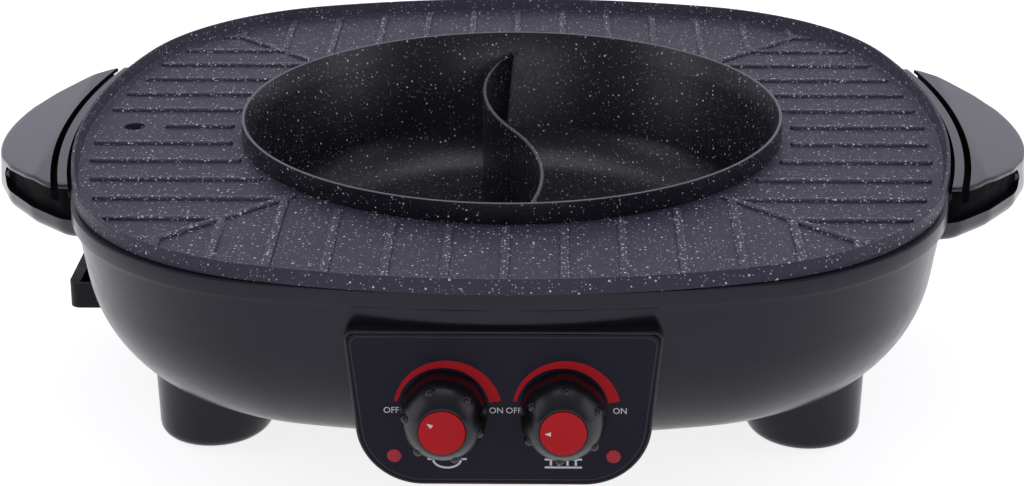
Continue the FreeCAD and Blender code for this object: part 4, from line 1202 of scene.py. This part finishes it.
# %% [markdown]
# The words are Blender text, turned into a mesh before they are put in place.

# %% OFF and ON
WORD_H = 2.6


def word(name, text, x, z):
    """Flat text of a set height, made a thin mesh, stood upright and laid on the film."""
    curve = bpy.data.curves.new(name, "FONT")
    curve.body = text
    curve.size = WORD_H * 1.35 * MM
    curve.align_x = "CENTER"
    curve.align_y = "CENTER"
    curve.extrude = INK / 2 * MM
    curve.resolution_u = 3
    holder = bpy.data.objects.new(name, curve)
    bpy.context.scene.collection.objects.link(holder)
    bpy.context.view_layer.update()
    mesh = bpy.data.meshes.new_from_object(holder)
    bpy.data.objects.remove(holder)
    place = Matrix.Translation((x * MM, (face_y - INK / 2) * MM, z * MM))
    mesh.transform(place @ Matrix.Rotation(math.pi / 2, 4, "X"))
    tidy(mesh)
    return piece(name, mesh, "base", [white_print])


for side, centre in (("left", -KNOB_X), ("right", KNOB_X)):
    word(side + "_off", "OFF", centre + (-20.3 if side == "left" else -18.9), KNOB_Z)
    word(side + "_on", "ON", centre + (20.0 if side == "left" else 21.8), KNOB_Z)

# %% [markdown]
# ## Knobs
# A knob is spun: a thin flange, a domed skirt, and a pocket for the red cap. Six small
# bumps for the fingers sit half way up. It is made standing on the z axis and then laid so
# that it points out of the panel, turned to its rest angle.

# %% Knobs, caps and pointers
KNOB_R, KNOB_TOP_R, KNOB_H, KNOB_GAP = 16.9, 9.5, 19.4, 0.7
CAP_R, CAP_PROUD = 8.85, 0.7
NUBS = 6
NUB_TURN = math.radians(25.0)
REST_ANGLE = {"left": 143.5, "right": 180.0}
KNOB_CENTRE = {"left": -KNOB_X, "right": KNOB_X}


def laid(grid, side, turned=True):
    """Turn a grid by the knob's rest angle, then lay its axis along -y at the knob's place."""
    angle = math.radians(REST_ANGLE[side]) if turned else 0.0
    x = grid[..., 0] * math.cos(angle) - grid[..., 1] * math.sin(angle)
    up = grid[..., 0] * math.sin(angle) + grid[..., 1] * math.cos(angle)
    return np.stack([x + KNOB_CENTRE[side], -grid[..., 2] - PANEL_Y, up + KNOB_Z], -1)


def knob_line():
    """Half section of the knob from its underside, over the dome, into the cap's pocket."""
    shoulder_z = KNOB_GAP + 4.0
    middle = (KNOB_TOP_R + (KNOB_R - KNOB_TOP_R) * 0.62, shoulder_z + (KNOB_H - shoulder_z) * 0.66)
    dome = arc_through((KNOB_R - 0.4, shoulder_z), middle, (KNOB_TOP_R + 0.5, KNOB_H - 0.25), 22)
    start = rounded_line([(0, KNOB_GAP), (KNOB_R, KNOB_GAP), (KNOB_R - 0.4, shoulder_z)], (0.5,), 5)[:-1]
    pocket = rounded_line([(KNOB_TOP_R + 0.5, KNOB_H - 0.25), (KNOB_TOP_R, KNOB_H), (CAP_R + 0.15, KNOB_H),
                           (CAP_R + 0.15, KNOB_H - 0.9), (0, KNOB_H - 0.9)], (0.2, 0.25, 0.1), 4)
    return np.concatenate([start, dome, pocket[1:]])


def nub(k):
    """A small egg-shaped bump half sunk into the dome."""
    angle = 2 * math.pi * k / NUBS + NUB_TURN
    reach = KNOB_TOP_R + (KNOB_R - KNOB_TOP_R) * 0.62
    height = KNOB_GAP + 4.0 + (KNOB_H - KNOB_GAP - 4.0) * 0.66 - 1.2
    rise = np.linspace(-math.pi / 2, math.pi / 2, 13)
    ball = revolve(np.stack([2.1 * np.cos(rise), 2.1 * np.sin(rise)], -1), 24)
    return ball + (reach * math.cos(angle), reach * math.sin(angle), height)


def lobed(grid):
    """Swell the foot of the skirt into soft lobes, one under each bump, fading upwards."""
    x, y, z = grid[..., 0], grid[..., 1], grid[..., 2]
    wave = np.cos(NUBS * (np.arctan2(y, x) - NUB_TURN)) - 1.0
    fade = np.clip((13.0 - z) / 11.0, 0, 1) * (np.hypot(x, y) > 5)
    grow = 1 + 0.015 * wave * fade
    return np.stack([x * grow, y * grow, z], -1)


def cap_line():
    top = KNOB_H + CAP_PROUD
    return rounded_line([(0, KNOB_H - 0.9), (CAP_R, KNOB_H - 0.9), (CAP_R, top), (0, top)], (0.05, 0.35), 6)


def pointer_grid():
    """A thin triangle that points outwards, with its tip and corners slightly rounded."""
    z = KNOB_H + CAP_PROUD
    tip, tail, half = CAP_R * 0.80, CAP_R * 0.52, CAP_R * 0.10
    corners = [(tail, 0), (tail, -half), (tip, 0), (tail, half), (tail, 0)]
    line = rounded_line(corners, (0.12, 0.12, 0.12), 4)[:-1]
    middle = np.broadcast_to(np.array([tail + (tip - tail) * 0.35, 0.0]), line.shape)
    rings = [ring_at(middle, z - 0.05), ring_at(line, z - 0.05), ring_at(line, z + 0.15),
             ring_at(line * 0.96 + middle * 0.04, z + 0.19), ring_at(middle, z + 0.19)]
    return np.stack(rings)


for side in ("left", "right"):
    body = side + "_knob_body"
    shapes = [(laid(lobed(revolve(knob_line(), 144)), side), False, True)]
    shapes += [(laid(nub(k), side), False, True) for k in range(NUBS)]
    piece(side + "_knob_skin", mesh_of(side + "_knob_skin", shapes), body, [knob_plastic],
          [side + "_knob"])
    cap = mesh_of(side + "_cap_skin", [(laid(revolve(cap_line(), 96), side), False, True)])
    piece(side + "_cap_skin", cap, body, [red_plastic], [side + "_knob_cap"])
    arrow = mesh_of(side + "_arrow", [(laid(pointer_grid(), side), False, True)])
    piece(side + "_arrow", arrow, body, [white_print], [side + "_pointer"])

# %% [markdown]
# ### Indicator lenses
# Two red lenses with a softly domed front show the lamps behind them.

# %% Lenses
LENS_X, LENS_Z, LENS_R = 42.3, 41.8, 2.75
lens_front = span("indicator_lenses")[0][1]


def lens_grid(x):
    turn = np.linspace(0, math.pi / 2, 8)
    dome = np.stack([LENS_R * np.sin(turn), 0.35 * np.cos(turn)], -1)
    line = np.concatenate([dome, [(LENS_R, -3.0), (0, -3.0)]])
    upright = revolve(line, 48)
    return np.stack([upright[..., 0] + x, lens_front + 0.35 - upright[..., 2], upright[..., 1] + LENS_Z], -1)


lenses = mesh_of("lenses", [(lens_grid(x), False, True) for x in (-LENS_X, LENS_X)])
piece("lenses", lenses, "base", [lens_plastic], ["indicator_lenses"])

# %% [markdown]
# ## Mains inlet pad
# At the back the bowl has a flat pad for the inlet, with rounded corners. The inlet itself
# is the CAD's own.

# %% Inlet pad
PAD_FACE = 189.0


def inlet_pad_grid():
    corners = [(22, 66 - 17), (22, 66 + 17), (-22, 66 + 17), (-22, 66 - 17)]
    loop = np.array(corners[-1:] + corners + corners[:1], float)
    line, normals = resample(rounded_line(loop, (4, 4, 4, 4), 6)[1:-1], 120)
    centre = np.array([0.0, 66.0])
    hole_way = (line - centre) / np.linalg.norm(line - centre, axis=1)[:, None]
    hole = centre + rounded_box_like(hole_way, 14.9, 9.9, 0.6)
    wall = side_reach(line[:, 0], line[:, 1]) - shell_t / 2
    hole_wall = side_reach(hole[:, 0], hole[:, 1]) - shell_t / 2
    rows = [(line, wall), (line, wall * 0 + PAD_FACE - 0.6), (line - normals * 0.2, wall * 0 + PAD_FACE - 0.2),
            (line - normals * 0.6, wall * 0 + PAD_FACE), (hole, wall * 0 + PAD_FACE), (hole, hole_wall)]
    return np.stack([np.stack([plan[:, 0], y, plan[:, 1]], -1) for plan, y in rows]), True, True


piece("inlet_pad", mesh_of("inlet_pad", [inlet_pad_grid()]), "base", [bowl_plastic])

# %% [markdown]
# ## Finishes for the pieces that stay as CAD
# Flat, hidden or purely mechanical pieces keep their CAD shape. Each gets the finish of its
# real material.

# %% Dress the CAD nodes
finish_of = {
    "drip_cup": inner_plastic, "cup_channel": inner_plastic,
    "bottom_cover": bowl_plastic, "foot_pads": rubber, "power_inlet": inner_plastic,
    "bottom_screws": screw_steel, "handle_screws": screw_steel, "inlet_screws": screw_steel,
    "tray_screws": screw_steel, "thermostat_nuts": screw_steel, "heat_tray": tray_steel,
    "element_clips": tray_steel, "pot_element_supports": tray_steel, "drip_spout": tray_steel,
    "grill_element": tube_steel, "pot_element": tube_steel, "inlet_pins": brass,
    "left_shaft": brass, "right_shaft": brass, "thermal_fuse": brass, "wiring": wire_sleeve,
    "left_thermostat": pale_plastic, "right_thermostat": pale_plastic,
    "terminal_block": pale_plastic, "neon_lamps": lamp_glass,
}
for node, material in finish_of.items():
    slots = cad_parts[node].material_slots
    for place in slots:
        place.material = material
    if not slots:
        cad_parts[node].data.materials.append(material)
print("dressed", len(finish_of), "CAD nodes")

# %% [markdown]
# ## Stage
# The photograph is a studio shot: white all round, broad soft light from above and from
# both sides, and a dark room behind the photographer, which keeps the front of the glossy
# bowl deep. A sky that is bright above and dim towards the camera does most of this.

# %% Floor, sky and lamps
FLOOR_SIZE = 6.0


def seen_ray(nodes, links, level):
    """The level for rays from the camera, in reflections or through glass, otherwise nought."""
    path = nodes.new("ShaderNodeLightPath")
    value = path.outputs["Is Camera Ray"]
    for name in ("Is Glossy Ray", "Is Transmission Ray"):
        most = nodes.new("ShaderNodeMath")
        most.operation = "MAXIMUM"
        links.new(value, most.inputs[0])
        links.new(path.outputs[name], most.inputs[1])
        value = most.outputs["Value"]
    scaled = nodes.new("ShaderNodeMath")
    scaled.operation = "MULTIPLY"
    scaled.inputs[1].default_value = level
    links.new(value, scaled.inputs[0])
    return scaled.outputs["Value"]


def white_floor():
    """A pale floor that still takes the object's soft shadow."""
    half = FLOOR_SIZE / 2
    mesh = bpy.data.meshes.new("floor")
    corners = [(-half, -half, 0), (half, -half, 0), (half, half, 0), (-half, half, 0)]
    mesh.from_pydata(corners, [], [(0, 1, 2, 3)])
    floor = bpy.data.objects.new("floor", mesh)
    bpy.context.scene.collection.objects.link(floor)
    material, nodes, links, shader = new_material("floor_white", (0.55, 0.55, 0.56), 0.8)
    shader.inputs["Specular IOR Level"].default_value = 0.05
    glow = nodes.new("ShaderNodeEmission")
    glow.inputs["Color"].default_value = (1, 1, 1, 1)
    links.new(seen_ray(nodes, links, 0.82), glow.inputs["Strength"])
    both = nodes.new("ShaderNodeAddShader")
    links.new(shader.outputs["BSDF"], both.inputs[0])
    links.new(glow.outputs["Emission"], both.inputs[1])
    links.new(both.outputs["Shader"], nodes["Material Output"].inputs["Surface"])
    mesh.materials.append(material)


def studio_sky():
    """Bright above and at the sides, dim in front, and plain white where the camera sees it."""
    world = bpy.data.worlds.new("studio")
    bpy.context.scene.world = world
    world.use_nodes = True
    nodes, links = world.node_tree.nodes, world.node_tree.links
    light = nodes["Background"]
    way = nodes.new("ShaderNodeTexCoord").outputs["Generated"]
    parts = nodes.new("ShaderNodeSeparateXYZ")
    links.new(way, parts.inputs[0])
    front = remap(nodes, links, parts.outputs["Y"], -0.7, 0.8, 0.26, 0.76)
    links.new(front, light.inputs["Strength"])
    light.inputs["Color"].default_value = (0.90, 0.88, 1.0, 1)
    plain = nodes.new("ShaderNodeBackground")
    plain.inputs["Color"].default_value = (1, 1, 1, 1)
    seen = nodes.new("ShaderNodeLightPath")
    choose = nodes.new("ShaderNodeMixShader")
    links.new(seen.outputs["Is Camera Ray"], choose.inputs[0])
    links.new(light.outputs[0], choose.inputs[1])
    links.new(plain.outputs[0], choose.inputs[2])
    links.new(choose.outputs[0], nodes["World Output"].inputs["Surface"])


def soft_lamp(name, place, aim, width, height, power):
    data = bpy.data.lights.new(name, "AREA")
    data.shape = "RECTANGLE"
    data.size, data.size_y = width, height
    data.energy = power
    data.color = (0.95, 0.93, 1.0)
    lamp = bpy.data.objects.new(name, data)
    lamp.location = place
    lamp.rotation_euler = (Vector(aim) - Vector(place)).to_track_quat("-Z", "Y").to_euler()
    bpy.context.scene.collection.objects.link(lamp)


white_floor()
studio_sky()
soft_lamp("top_box", (0.0, 0.35, 1.5), (0, 0, 0.1), 1.2, 0.9, 4.0)
soft_lamp("left_box", (-1.5, -0.2, 0.7), (0, 0, 0.08), 0.8, 1.2, 3.0)
soft_lamp("right_box", (1.5, -0.2, 0.7), (0, 0, 0.08), 0.8, 1.2, 3.0)
soft_lamp("front_box", (0.0, -1.7, 0.5), (0, 0, 0.06), 1.6, 0.7, 5.0)
bpy.context.scene.view_settings.view_transform = "Standard"
